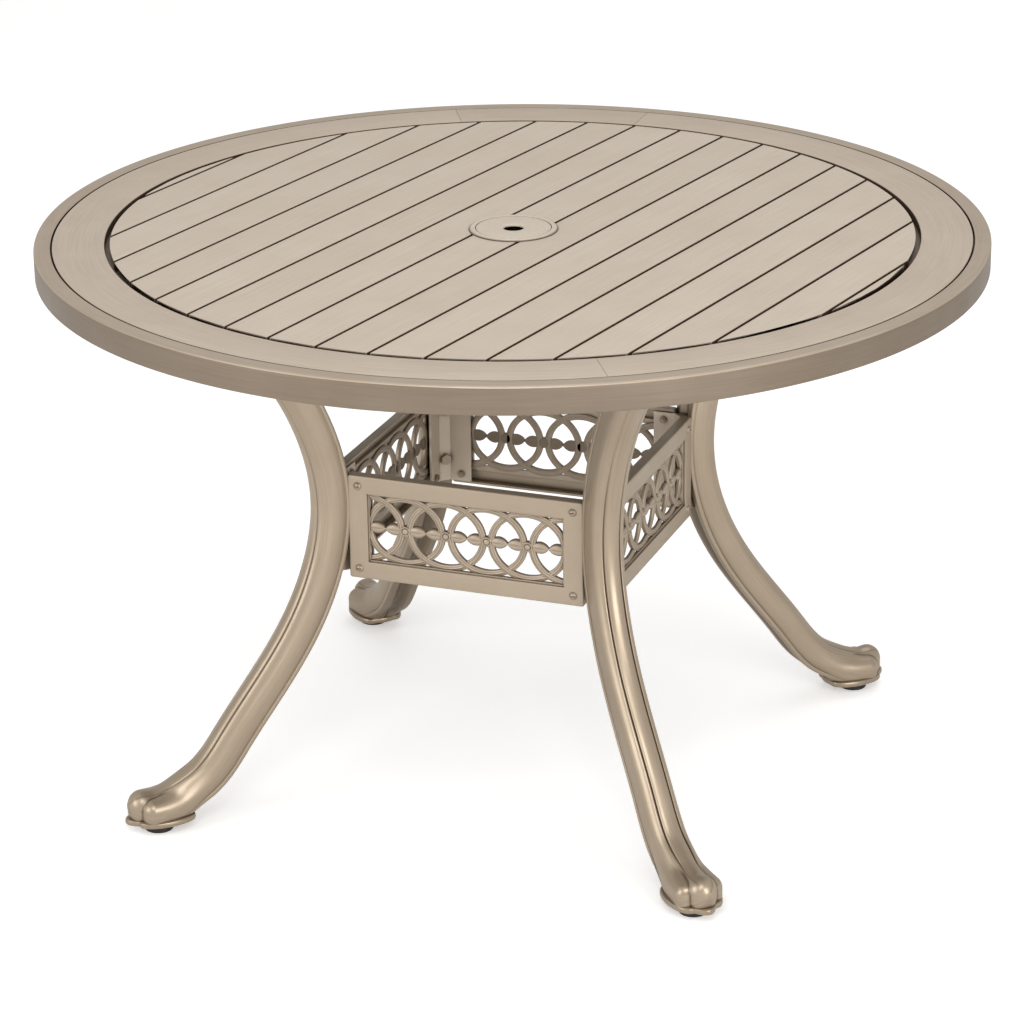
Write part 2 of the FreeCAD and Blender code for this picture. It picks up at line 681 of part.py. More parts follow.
# Corner brackets: bent plates that tie two panels to the rib of the leg between them
def make_corner_brackets():
    brackets = []
    root = DIAGONAL
    wing_end = "(%s - Sizes.bracket_wing)" % PANEL_HALF
    wing_corner = "(%s + Sizes.bracket_reach)" % PANEL_HALF
    plate = "Sizes.bracket_plate"
    inner_plane = "(%s - %s)" % (PANEL_BACK, plate)
    face = "((%s + %s) / %s)" % (wing_corner, PANEL_BACK, root)
    bend = "((%s - %s) / %s)" % (PANEL_BACK, wing_corner, root)
    inner_face = "(%s - %s)" % (face, plate)
    inner_bend = "(%s * %s - %s)" % (inner_plane, root, inner_face)
    end_out = ("((%s + %s) / %s)" % (wing_end, PANEL_BACK, root),
               "((%s - %s) / %s)" % (PANEL_BACK, wing_end, root))
    end_in = ("((%s + %s) / %s)" % (wing_end, inner_plane, root),
              "((%s - %s) / %s)" % (inner_plane, wing_end, root))
    outline = [
        end_out,
        (face, bend),
        (face, "-1 * %s" % bend),
        (end_out[0], "-1 * %s" % end_out[1]),
        (end_in[0], "-1 * %s" % end_in[1]),
        (inner_face, "-1 * %s" % inner_bend),
        (inner_face, inner_bend),
        end_in,
    ]
    for corner, angle in CORNERS:
        label = "corner_bracket_" + corner
        plate_body = extruded(label + "_plate", "XY_Plane", outline, "Sizes.bracket_height")
        plate_body.setExpression("Placement.Base.z", "%s - Sizes.bracket_height / 2" % PANEL_MIDDLE)
        holes = []
        for number, up in ((1, -1), (2, 1)):
            holes.append(round_bar("%s_bolt_hole_%d" % (label, number),
                                   "Sizes.bolt_diameter / 2 + Sizes.hole_clearance", "4 * Sizes.bracket_plate",
                                   ("%s - 2 * Sizes.bracket_plate" % face, "0",
                                    "%s + %d * Sizes.bolt_spread / 2" % (PANEL_MIDDLE, up)), Vector(1, 0, 0)))
            for way in (-1, 1):
                inset = "(%s - Sizes.screw_inset)" % PANEL_HALF
                holes.append(round_bar(
                    "%s_screw_hole_%d_%s" % (label, number, "a" if way < 0 else "b"),
                    "Sizes.screw_diameter / 2 + Sizes.hole_clearance", "6 * Sizes.bracket_plate",
                    ("(%s + %s) / %s - 3 * Sizes.bracket_plate / %s" % (inset, PANEL_BACK, root, root),
                     "%d * ((%s - %s) / %s - 3 * Sizes.bracket_plate / %s)" % (way, PANEL_BACK, inset, root, root),
                     "%s + %d * (Sizes.panel_height / 2 - Sizes.screw_inset)" % (PANEL_MIDDLE, up)),
                    Vector(1, way, 0)))
        bracket = cut(label, plate_body, holes)
        bracket.Label = label
        bracket.Placement = Placement(Vector(), Rotation(UP, angle))
        brackets.append(bracket)
    return brackets


def hexagon(flats, height, at, along):
    """A hexagonal prism from a point along a direction."""
    radius = flats / math.sqrt(3)
    corners = [Vector(radius * math.cos(math.radians(60 * k)), radius * math.sin(math.radians(60 * k)), 0)
               for k in range(7)]
    prism = Part.Face(Part.makePolygon(corners)).extrude(Vector(0, 0, height))
    prism.Placement = Placement(at, Rotation(UP, along))
    return prism


def hex_bolt(at, along, shank):
    """A hexagon bolt whose head seats at a point and whose shank runs along a direction."""
    head_height = size("Sizes.bolt_head_height")
    head = hexagon(size("Sizes.bolt_head_flats"), head_height, at - along * head_height, along)
    return head.fuse(Part.makeCylinder(size("Sizes.bolt_diameter") / 2, shank, at, along))


def nut(at, along, flats, height, bore):
    """A hexagon nut whose near face is at a point."""
    blank = hexagon(flats, height, at, along)
    return blank.cut(Part.makeCylinder(bore, 3 * height, at - along * height, along))


def panel_screw(at, along, shank):
    """A round-head screw with one slot, head seated at a point."""
    radius, height = size("Sizes.screw_head") / 2, size("Sizes.screw_head_height")
    sphere_radius = (radius * radius + height * height) / (2 * height)
    dome = Part.makeSphere(sphere_radius, at + along * (sphere_radius - height))
    head = dome.common(Part.makeCylinder(2 * radius, height, at - along * height, along))
    screw = head.fuse(Part.makeCylinder(size("Sizes.screw_diameter") / 2, shank, at, along))
    length, width = size("Sizes.slot_length"), size("Sizes.slot_width")
    slot = Part.makeBox(length, width, size("Sizes.slot_depth") + height,
                        Vector(-length / 2, -width / 2, -2 * height))
    slot.Placement = Placement(at, Rotation(UP, along))
    return screw.cut(slot)


def turned_about_table(shapes, angles):
    """Copies of shapes at several angles about the table's axis."""
    group = []
    for angle in angles:
        for shape in shapes:
            copy = shape.copy()
            copy.rotate(Vector(), UP, angle)
            group.append(copy)
    return Part.makeCompound(group)


# Screws and nuts of the four panels
def make_panel_fixings():
    inset = size(PANEL_HALF + " - Sizes.screw_inset")
    rise = size("Sizes.panel_height / 2 - Sizes.screw_inset")
    front, back = -size(PANEL_PLANE), -size(PANEL_BACK)
    inward = Vector(0, 1, 0)
    nut_seat = back + size("Sizes.bracket_plate")
    shank = nut_seat - front + size("Sizes.nut_height") + size("Sizes.screw_diameter") / 4
    screws, nuts = [], []
    for across in (-1, 1):
        for up in (-1, 1):
            at = Vector(across * inset, front, size(PANEL_MIDDLE) + up * rise)
            screws.append(panel_screw(at, inward, shank))
            nuts.append(nut(Vector(at.x, nut_seat, at.z), inward, size("Sizes.nut_flats"),
                            size("Sizes.nut_height"), size("Sizes.screw_diameter / 2")))
    angles = [angle for side, angle in SIDES]
    return [shaped("panel_screws", turned_about_table(screws, angles)),
            shaped("panel_nuts", turned_about_table(nuts, angles))]


# Bolts that hold the legs to the rails and to the corner brackets, and the nuts in the rails
def make_leg_bolts():
    seat = size(PAD_BOTTOM)
    nut_seat = size(RAIL_BOTTOM + " + Sizes.rail_wall")
    nut_height = size("Sizes.rail_nut_height")
    shank = nut_seat - seat + nut_height + size("Sizes.bolt_end")
    bolts, nuts = [], []
    for way in (-1, 1):
        radius = size("Sizes.pad_middle_radius + %d * Sizes.pad_bolt_spacing / 2" % way)
        bolts.append(hex_bolt(Vector(radius, 0, seat), UP, shank))
        nuts.append(nut(Vector(radius, 0, nut_seat), UP, size("Sizes.bolt_head_flats"), nut_height,
                        size("Sizes.bolt_diameter / 2")))
    bracket_seat = size("%s - Sizes.bracket_plate" % BRACKET_FACE)
    bracket_shank = size(WAIST) - bracket_seat
    for way in (-1, 1):
        at = Vector(bracket_seat, 0, size(PANEL_MIDDLE) + way * size("Sizes.bolt_spread / 2"))
        bolts.append(hex_bolt(at, Vector(1, 0, 0), bracket_shank))
    angles = [angle for corner, angle in CORNERS]
    return [shaped("leg_bolts", turned_about_table(bolts, angles)),
            shaped("rail_nuts", turned_about_table(nuts, angles))]


def leg_section(middle, along, scale_width, scale_depth):
    """The leg's section square to its run: a broad bead between two side beads, a channel behind."""
    half_width = size("Sizes.leg_width") / 2 * scale_width
    half_depth = size("Sizes.leg_depth") / 2 * scale_depth
    side = Vector(0, 1, 0)
    outward = side.cross(along).normalize()

    def at(place, way=1):
        return middle + side * (way * place[0] * half_width) + outward * (place[1] * half_depth)

    def half_outline(way):
        return [
            Part.Arc(at(BEAD_EDGE, way), at(COVE, way), at(SIDE_BEAD, way)),
            Part.Arc(at(SIDE_BEAD, way), at(SHOULDER_ROUND, way), at(SHOULDER, way)),
            Part.LineSegment(at(SHOULDER, way), at(BACK_CORNER, way)),
            Part.Arc(at(BACK_CORNER, way), at(BACK_ROUND, way), at(BACK_EDGE, way)),
            Part.LineSegment(at(BACK_EDGE, way), at(CHANNEL_EDGE, way)),
        ]
    crown = Part.Arc(at(BEAD_EDGE, -1), at((0, 1.0)), at(BEAD_EDGE))
    channel_back = Part.Arc(at(CHANNEL_EDGE), at(CHANNEL_FLOOR), at(CHANNEL_EDGE, -1))
    edges = [edge.toShape() for edge in [crown] + half_outline(1) + [channel_back] + half_outline(-1)]
    return Part.Wire(Part.sortEdges(edges)[0])


def leg_line():
    """Centre line of a leg in its upright radial plane, from the pad down into the foot."""
    places = [
        (LEG_TOP, PAD_BOTTOM + " + Sizes.pad_thickness / 2"),
        (SHOULDER_RADIUS, SHOULDER_HEIGHT),
        (WAIST, "Sizes.waist_height"),
        (KNEE, "Sizes.knee_height"),
        (ANKLE, "Sizes.ankle_height"),
        (HEEL, "Sizes.heel_height"),
        ("Sizes.foot_radius", "Sizes.instep_height"),
    ]
    line = Part.BSplineCurve()
    line.interpolate([Vector(size(radius), 0, size(height)) for radius, height in places])
    return line


def ellipsoid(radii, middle):
    """An egg shape with three half sizes."""
    ball = Part.makeSphere(1)
    stretch = FreeCAD.Matrix()
    stretch.scale(radii[0], radii[1], radii[2])
    stretch.move(middle)
    return ball.transformGeometry(stretch)


def foot_shape():
    """The paw: three toe lobes over a flat sole, with a low boss for the glide."""
    sole_bottom = size(SOLE_BOTTOM)
    length, width = size("Sizes.sole_length"), size("Sizes.sole_width")
    centre, rise = size("Sizes.foot_radius"), size("Sizes.toe_rise")
    outline = Part.Wire(Part.Ellipse(Vector(centre, 0, sole_bottom), length / 2, width / 2).toShape())
    sole = Part.Face(outline).extrude(Vector(0, 0, size("Sizes.sole_thickness")))
    boss = Part.makeCylinder(size("Sizes.foot_boss") / 2, size("Sizes.foot_boss_height") + 1,
                             Vector(centre, 0, size(FOOT_BOTTOM)))
    middle_toe = ellipsoid((length * MIDDLE_TOE_SIZE[0], width * MIDDLE_TOE_SIZE[1], rise / 2),
                           Vector(centre + length * MIDDLE_TOE_FORWARD, 0, sole_bottom + rise / 2))
    side_rise = rise * SIDE_TOE_RISE
    lobes = [sole, boss, middle_toe]
    for way in (-1, 1):
        place = Vector(centre - length * SIDE_TOE_BACK, way * width * SIDE_TOE_ASIDE,
                       sole_bottom + side_rise / 2)
        lobes.append(ellipsoid((length * SIDE_TOE_SIZE[0], width * SIDE_TOE_SIZE[1], side_rise / 2), place))
    return lobes


def leg_shape():
    """One cast leg along +X: pad, swept run, bracket rib and paw, bored for its fixings."""
    line = leg_line()
    first, last = line.FirstParameter, line.LastParameter
    stations = 19
    wires = []
    for index in range(stations):
        share = index / (stations - 1)
        where = first + (last - first) * share
        along = line.tangent(where)[0]
        swell = 1 + FOOT_SWELL * max(0.0, (share - FOOT_START) / (1 - FOOT_START))
        wires.append(leg_section(line.value(where), along, swell, 1.0))
    run = Part.makeLoft(wires, True, False)
    pad_bottom, pad_top = size(PAD_BOTTOM), size(RAIL_BOTTOM)
    length, width = size("Sizes.pad_length"), size("Sizes.pad_width")
    above = Part.makeBox(4 * length, 4 * width, 4 * size("Sizes.leg_depth"),
                         Vector(size("Sizes.pad_middle_radius") - 2 * length, -2 * width, pad_top))
    run = run.cut(above)
    pad = Part.makeBox(length, width, pad_top - pad_bottom,
                       Vector(size("Sizes.pad_middle_radius") - length / 2, -width / 2, pad_bottom))
    upright = [edge for edge in pad.Edges if abs(edge.Length - (pad_top - pad_bottom)) < 1e-6]
    pad = pad.makeFillet(size("Sizes.pad_corner"), upright)
    rib_width = size("Sizes.rib_width")
    rib_face = size(BRACKET_FACE)
    rib_height = size("Sizes.bracket_height")
    rib = Part.makeBox(size(WAIST) - rib_face, rib_width, rib_height,
                       Vector(rib_face, -rib_width / 2, size(PANEL_MIDDLE) - rib_height / 2))
    whole = run.multiFuse([pad, rib] + foot_shape())
    centre, foot_bottom = size("Sizes.foot_radius"), size(FOOT_BOTTOM)
    below = Part.makeBox(4 * length, 4 * width, 4 * length,
                         Vector(centre - 2 * length, -2 * width, foot_bottom - 4 * length))
    bolt_radius = size("Sizes.bolt_diameter / 2 + Sizes.hole_clearance")
    bores = [below,
             Part.makeCylinder(size("Sizes.insert_diameter / 2"), size("Sizes.insert_length"),
                               Vector(centre, 0, foot_bottom)),
             Part.makeCylinder(size("Sizes.stem_diameter / 2 + Sizes.hole_clearance"),
                               size("Sizes.insert_length") + size("Sizes.stem_diameter"),
                               Vector(centre, 0, foot_bottom))]
    for way in (-1, 1):
        bores.append(Part.makeCylinder(
            bolt_radius, 3 * (pad_top - pad_bottom),
            Vector(size("Sizes.pad_middle_radius + %d * Sizes.pad_bolt_spacing / 2" % way), 0,
                   pad_bottom - (pad_top - pad_bottom))))
        bores.append(Part.makeCylinder(
            size("Sizes.bolt_diameter / 2"), size(WAIST) - rib_face + 1,
            Vector(rib_face - 1, 0, size(PANEL_MIDDLE) + way * size("Sizes.bolt_spread / 2")), Vector(1, 0, 0)))
    for tool in bores:
        whole = whole.cut(tool)
    return whole


# Legs: four castings of one pattern on the diagonals
def make_legs():
    leg = leg_shape()
    return [shaped("leg_" + corner, leg.copy(), angle) for corner, angle in CORNERS]


# Threaded inserts pressed into the feet
def make_foot_inserts():
    outer = size("Sizes.insert_diameter / 2 - Sizes.stem_fit")
    bore = size("Sizes.stem_diameter / 2 + Sizes.stem_fit")
    base = Vector(size("Sizes.foot_radius"), 0, size(FOOT_BOTTOM))
    insert = Part.makeCylinder(outer, size("Sizes.insert_length"), base)
    insert = insert.cut(Part.makeCylinder(bore, 3 * size("Sizes.insert_length"),
                                          base - UP * size("Sizes.insert_length")))
    return [shaped("foot_inserts", turned_about_table([insert], [angle for corner, angle in CORNERS]))]


def place_at_foot(body, angle):
    """Moves a turned piece out to the foot that stands at an angle."""
    radians = "%d deg" % angle
    body.setExpression("Placement.Base.x", "Sizes.foot_radius * cos(%s)" % radians)
    body.setExpression("Placement.Base.y", "Sizes.foot_radius * sin(%s)" % radians)


# Levelling glides: a steel stem with a button, and a black pad that turns on the button
def make_glides():
    pieces = []
    button_top = "(Sizes.button_rise + Sizes.button_height)"
    stem_radius = "(Sizes.stem_diameter / 2)"
    button_radius = "(Sizes.button_diameter / 2)"
    top = "(Sizes.button_rise + Sizes.stem_length)"
    pad_radius = "(Sizes.glide_diameter / 2)"
    for corner, angle in CORNERS:
        stem = turned("glide_stem_" + corner, [
            ("0", "Sizes.button_rise"),
            (button_radius, "Sizes.button_rise"),
            (button_radius, button_top),
            (stem_radius, button_top),
            (stem_radius, top),
            ("0", top),
        ])
        pad = turned("glide_pad_" + corner, [
            ("0", "0"),
            ("%s - Sizes.glide_foot_ease" % pad_radius, "0"),
            (pad_radius, "Sizes.glide_foot_ease"),
            ("%s - Sizes.glide_draft" % pad_radius, "Sizes.glide_height - Sizes.glide_top_ease"),
            ("%s - Sizes.glide_draft - Sizes.glide_top_ease" % pad_radius, "Sizes.glide_height"),
            ("%s + Sizes.stem_fit" % stem_radius, "Sizes.glide_height"),
            ("%s + Sizes.stem_fit" % stem_radius, "%s + Sizes.stem_fit" % button_top),
            ("%s + Sizes.stem_fit" % button_radius, "%s + Sizes.stem_fit" % button_top),
            ("%s + Sizes.stem_fit" % button_radius, "Sizes.button_rise - Sizes.stem_fit"),
            ("0", "Sizes.button_rise - Sizes.stem_fit"),
        ])
        for body in (stem, pad):
            place_at_foot(body, angle)
            pieces.append(body)
    return pieces


parts = [make_rim_hoop()]
parts += make_border_boards()
parts += make_slats()
parts += [make_support_ring()]
parts += make_battens()
parts += make_rails()
parts += [make_umbrella_sleeve(), make_umbrella_ring(), make_umbrella_cap()]
parts += make_panels()
parts += make_grilles()
parts += make_corner_brackets()
parts += make_panel_fixings()
parts += make_leg_bolts()
parts += make_legs()
parts += make_foot_inserts()
parts += make_glides()
doc.recompute()

# Every object must be sound before anything is written
for item in doc.Objects:
    if "Invalid" in item.State or "Error" in item.State:
        raise RuntimeError("%s did not build: %s" % (item.Label, item.State))
for item in parts:
    if item.Shape.isNull() or not item.Shape.isValid() or not item.Shape.Solids:
        raise RuntimeError("%s has no sound solid" % item.Label)

os.makedirs("parts", exist_ok=True)
for item in parts:
    item.Shape.exportStep("parts/%s.step" % item.Label)
print(len(parts), "parts written")
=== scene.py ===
"""Looks of a round patio table: slatted top, umbrella hole, latticed apron box, curved legs."""

import logging
import math
from dataclasses import dataclass, field
from enum import Enum
from functools import cached_property
from typing import Any, Sequence

import bmesh
import bpy
import numpy as np
from mathutils import Matrix, Vector


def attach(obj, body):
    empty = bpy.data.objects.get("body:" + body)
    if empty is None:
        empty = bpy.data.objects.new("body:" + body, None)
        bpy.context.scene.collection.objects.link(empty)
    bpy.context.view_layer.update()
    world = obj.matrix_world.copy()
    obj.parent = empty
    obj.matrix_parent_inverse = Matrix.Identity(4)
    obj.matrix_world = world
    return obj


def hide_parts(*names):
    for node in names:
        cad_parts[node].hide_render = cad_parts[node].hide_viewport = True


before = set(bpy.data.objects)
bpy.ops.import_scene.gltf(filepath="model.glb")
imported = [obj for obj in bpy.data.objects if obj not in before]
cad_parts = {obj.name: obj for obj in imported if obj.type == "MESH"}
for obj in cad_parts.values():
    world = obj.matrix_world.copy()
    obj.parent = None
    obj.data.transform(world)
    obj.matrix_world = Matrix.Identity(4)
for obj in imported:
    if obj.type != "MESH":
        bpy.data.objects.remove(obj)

log = logging.getLogger("patio_table")
Array = np.ndarray
Pair = tuple[float, float]
Corner = tuple[float, float, float]
Piece = bpy.types.Object
Tree = bpy.types.NodeTree
Socket = bpy.types.NodeSocket

MM = 0.001
FULL_TURN = 2 * math.pi
QUARTER_TURN = math.pi / 2
SMOOTH_LIMIT = math.radians(38)
CORNERS = {"front_right": -45, "back_right": 45, "back_left": 135, "front_left": 225}
SIDES = {"front": 0, "right": 90, "back": 180, "left": 270}


# Colour and nodes


def srgb(code: str) -> tuple[float, float, float, float]:
    """Linear colour of a hex code.

    Args:
        code: six hex digits, red first.

    Returns:
        Red, green, blue and an alpha of 1.
    """
    shares = [int(code[i : i + 2], 16) / 255 for i in (0, 2, 4)]
    line = [s / 12.92 if s <= 0.04045 else ((s + 0.055) / 1.055) ** 2.4 for s in shares]
    return (line[0], line[1], line[2], 1.0)


def add_node(
    tree: Tree, kind: str, inputs: dict[Any, Any] | None = None, **settings: Any
) -> bpy.types.Node:
    """Adds one node with its settings, its socket values and its links.

    Args:
        tree: the node tree.
        kind: Blender's name for the node type.
        inputs: socket name or number to a plain value or to another node's output socket.
        **settings: attributes to set on the node.

    Returns:
        The new node.
    """
    node = tree.nodes.new(kind)
    for name, value in settings.items():
        setattr(node, name, value)
    for name, value in (inputs or {}).items():
        socket = node.inputs[name]
        if isinstance(value, Socket):
            tree.links.new(value, socket)
        else:
            socket.default_value = value
    return node


def new_material(name: str) -> tuple[bpy.types.Material, Tree]:
    """Makes a material with an empty node tree.

    Args:
        name: what it is called.

    Returns:
        The material and its tree.
    """
    material = bpy.data.materials.new(name)
    material.use_nodes = True
    material.node_tree.nodes.clear()
    return material, material.node_tree


class Grain(Enum):
    """Which way the brush lines of a surface run."""

    ALONG_PIECE = "along the piece, from its own grain coordinates"
    ROUND_AXIS = "round the table's upright axis"
    NONE = "no brush lines"


@dataclass(frozen=True)
class MetalPaint:
    """Aluminium under a champagne coat that is brushed and rubbed with a brown glaze.

    To the eye it is a pale silky metal with faint lines, soft clouds and brown in its corners:
    painted shade along with the glaze they hold.
    """

    name: str
    light: str
    middle: str
    glaze_and_shade: str
    metallic: float
    roughness: float
    grain: Grain = Grain.NONE
    # Real brush lines are about 0.3 mm wide; these are as coarse as they need to be to show.
    streak_mm: float = 2.2
    streak_length_mm: float = 170.0
    streak_share: float = 0.35
    # The coat was rubbed by hand, so its clouds are about as wide as a hand.
    cloud_mm: float = 90.0
    cloud_share: float = 0.25
    # How far the brown in a corner reaches out of it: painted shade along with the glaze left
    # there.
    corner_shade_mm: float = 9.0
    corner_shade_share: float = 0.75
    rough_spread: float = 0.05
    bump_mm: float = 0.05
    bump_strength: float = 0.35

    def grain_vector(self, tree: Tree) -> Socket:
        """Coordinates in metres with X along the brush lines.

        Args:
            tree: the material's node tree.

        Returns:
            A vector socket.
        """
        if self.grain is Grain.ALONG_PIECE:
            return add_node(tree, "ShaderNodeUVMap", uv_map="grain").outputs["UV"]
        place = add_node(tree, "ShaderNodeTexCoord").outputs["Object"]
        level = {0: place, 1: (1, 1, 0)}
        flat = add_node(tree, "ShaderNodeVectorMath", level, operation="MULTIPLY").outputs[0]
        radius = add_node(tree, "ShaderNodeVectorMath", {0: flat}, operation="LENGTH")
        ray = add_node(tree, "ShaderNodeVectorMath", {0: flat}, operation="NORMALIZE")
        height = add_node(tree, "ShaderNodeSeparateXYZ", {0: place}).outputs["Z"]
        reach = {0: radius.outputs["Value"], 1: height}
        across = add_node(tree, "ShaderNodeMath", reach, operation="ADD").outputs[0]
        way = add_node(tree, "ShaderNodeSeparateXYZ", {0: ray.outputs[0]}).outputs
        parts = {"X": way["X"], "Y": across, "Z": way["Y"]}
        return add_node(tree, "ShaderNodeCombineXYZ", parts).outputs["Vector"]

    def streaks(self, tree: Tree) -> Socket:
        """Brush lines as a value from 0 to 1.

        Args:
            tree: the material's node tree.

        Returns:
            A value socket.
        """
        along, across = 1 / (self.streak_length_mm * MM), 1 / (self.streak_mm * MM)
        stretch = (along, across, along if self.grain is Grain.ROUND_AXIS else across)
        place = {0: self.grain_vector(tree), 1: stretch}
        scaled = add_node(tree, "ShaderNodeVectorMath", place, operation="MULTIPLY").outputs[0]
        look = {"Vector": scaled, "Scale": 1.0, "Detail": 3.0, "Roughness": 0.6}
        return add_node(tree, "ShaderNodeTexNoise", look).outputs["Fac"]

    def build(self) -> bpy.types.Material:
        """Makes the material.

        Returns:
            The finished material.
        """
        material, tree = new_material(self.name)
        middle, glaze_and_shade = srgb(self.middle), srgb(self.glaze_and_shade)
        place = add_node(tree, "ShaderNodeTexCoord").outputs["Object"]
        look = {"Vector": place, "Scale": 1 / (self.cloud_mm * MM), "Detail": 3.0}
        look["Roughness"] = 0.55
        cloud = add_node(tree, "ShaderNodeTexNoise", look).outputs["Fac"]
        spread = {"Value": cloud, "From Min": 0.3, "From Max": 0.7}
        blend = add_node(tree, "ShaderNodeMapRange", {**spread, "To Max": self.cloud_share})
        layers = [(blend.outputs["Result"], middle)]
        low, high = self.roughness - self.rough_spread, self.roughness + self.rough_spread
        rough = add_node(tree, "ShaderNodeMapRange", {**spread, "To Min": low, "To Max": high})
        coat = {"Metallic": self.metallic, "Roughness": rough.outputs["Result"]}
        if self.grain is not Grain.NONE:
            lines = self.streaks(tree)
            fade = {"Value": lines, "From Min": 0.36, "From Max": 0.68}
            share = add_node(tree, "ShaderNodeMapRange", {**fade, "To Max": self.streak_share})
            layers.append((share.outputs["Result"], middle))
            relief = {"Height": lines, "Strength": self.bump_strength}
            bump = add_node(tree, "ShaderNodeBump", {**relief, "Distance": self.bump_mm * MM})
            coat["Normal"] = bump.outputs["Normal"]
        # Each vertex's share of brown is mixed in: painted shade in gaps and grooves along with the
        # glaze.
        for title, tint in (("tone", middle), ("glaze_and_shade_share", glaze_and_shade)):
            painted = add_node(tree, "ShaderNodeAttribute", attribute_name=title)
            layers.append((painted.outputs["Fac"], tint))
        # Painted shade: brown where the occlusion node finds surfaces close by, in corners and
        # hollows.
        reach = {"Distance": self.corner_shade_mm * MM}
        shelter = add_node(tree, "ShaderNodeAmbientOcclusion", reach, samples=8, only_local=False)
        edge = {"Value": shelter.outputs["AO"], "From Min": 0.35, "From Max": 0.95}
        edge |= {"To Min": self.corner_shade_share, "To Max": 0.0}
        corner = add_node(tree, "ShaderNodeMapRange", edge, interpolation_type="SMOOTHSTEP")
        layers.append((corner.outputs["Result"], glaze_and_shade))
        colour: Any = srgb(self.light)
        for share, tint in layers:
            mixed = {"Factor": share, 6: colour, 7: tint}
            colour = add_node(tree, "ShaderNodeMix", mixed, data_type="RGBA").outputs[2]
        shader = add_node(tree, "ShaderNodeBsdfPrincipled", {"Base Color": colour, **coat})
        add_node(tree, "ShaderNodeOutputMaterial", {"Surface": shader.outputs[0]})
        return material


@dataclass(frozen=True)
class MouldedRubber:
    """Black rubber, moulded and matt: to the eye a near black foot with faint grey specks."""

    name: str = "glide_rubber_moulded"
    colour: str = "201E1C"
    worn: str = "34312E"
    roughness: float = 0.55
    # The mould's grit is about 0.2 mm; it is drawn coarser so that it shows.
    grit_mm: float = 0.8
    relief_mm: float = 0.1

    def build(self) -> bpy.types.Material:
        """Makes the material.

        Returns:
            The finished material.
        """
        material, tree = new_material(self.name)
        place = add_node(tree, "ShaderNodeTexCoord").outputs["Object"]
        look = {"Vector": place, "Scale": 1 / (self.grit_mm * MM), "Detail": 2.0}
        grit = add_node(tree, "ShaderNodeTexNoise", look).outputs["Fac"]
        wear = {"Value": grit, "From Min": 0.45, "From Max": 0.75, "To Max": 0.5}
        share = add_node(tree, "ShaderNodeMapRange", wear).outputs["Result"]
        mixed = {"Factor": share, 6: srgb(self.colour), 7: srgb(self.worn)}
        colour = add_node(tree, "ShaderNodeMix", mixed, data_type="RGBA").outputs[2]
        relief = {"Height": grit, "Strength": 0.3, "Distance": self.relief_mm * MM}
        bump = add_node(tree, "ShaderNodeBump", relief).outputs["Normal"]
        skin = {"Base Color": colour, "Roughness": self.roughness, "IOR": 1.52, "Normal": bump}
        shader = add_node(tree, "ShaderNodeBsdfPrincipled", skin)
        add_node(tree, "ShaderNodeOutputMaterial", {"Surface": shader.outputs[0]})
        return material


@dataclass(frozen=True)
class ZincPlate:
    """Steel with a dull zinc plate: to the eye a grey metal, slightly blotched."""

    name: str = "steel_zinc_plated"
    light: str = "B4B3AE"
    dark: str = "85847F"
    roughness: float = 0.38
    rough_spread: float = 0.08
    spangle_mm: float = 4.0

    def build(self) -> bpy.types.Material:
        """Makes the material.

        Returns:
            The finished material.
        """
        material, tree = new_material(self.name)
        place = add_node(tree, "ShaderNodeTexCoord").outputs["Object"]
        look = {"Vector": place, "Scale": 1 / (self.spangle_mm * MM), "Detail": 3.0}
        spangle = add_node(tree, "ShaderNodeTexNoise", look).outputs["Fac"]
        mixed = {"Factor": spangle, 6: srgb(self.light), 7: srgb(self.dark)}
        colour = add_node(tree, "ShaderNodeMix", mixed, data_type="RGBA").outputs[2]
        low, high = self.roughness - self.rough_spread, self.roughness + self.rough_spread
        spread = {"Value": spangle, "To Min": low, "To Max": high}
        rough = add_node(tree, "ShaderNodeMapRange", spread).outputs["Result"]
        plate = {"Base Color": colour, "Metallic": 1.0, "Roughness": rough}
        shader = add_node(tree, "ShaderNodeBsdfPrincipled", plate)
        add_node(tree, "ShaderNodeOutputMaterial", {"Surface": shader.outputs[0]})
        return material


class Finish(Enum):
    """The table's finishes by name."""

    SLAT = "slat"
    BORDER = "border"
    RIM = "rim"
    CAP = "cap"
    FRAME = "frame"
    UNDER = "under"
    LEG = "leg"
    PANEL = "panel"
    LATTICE = "lattice"
    FIXING = "fixing"
    STEEL = "steel"
    RUBBER = "rubber"


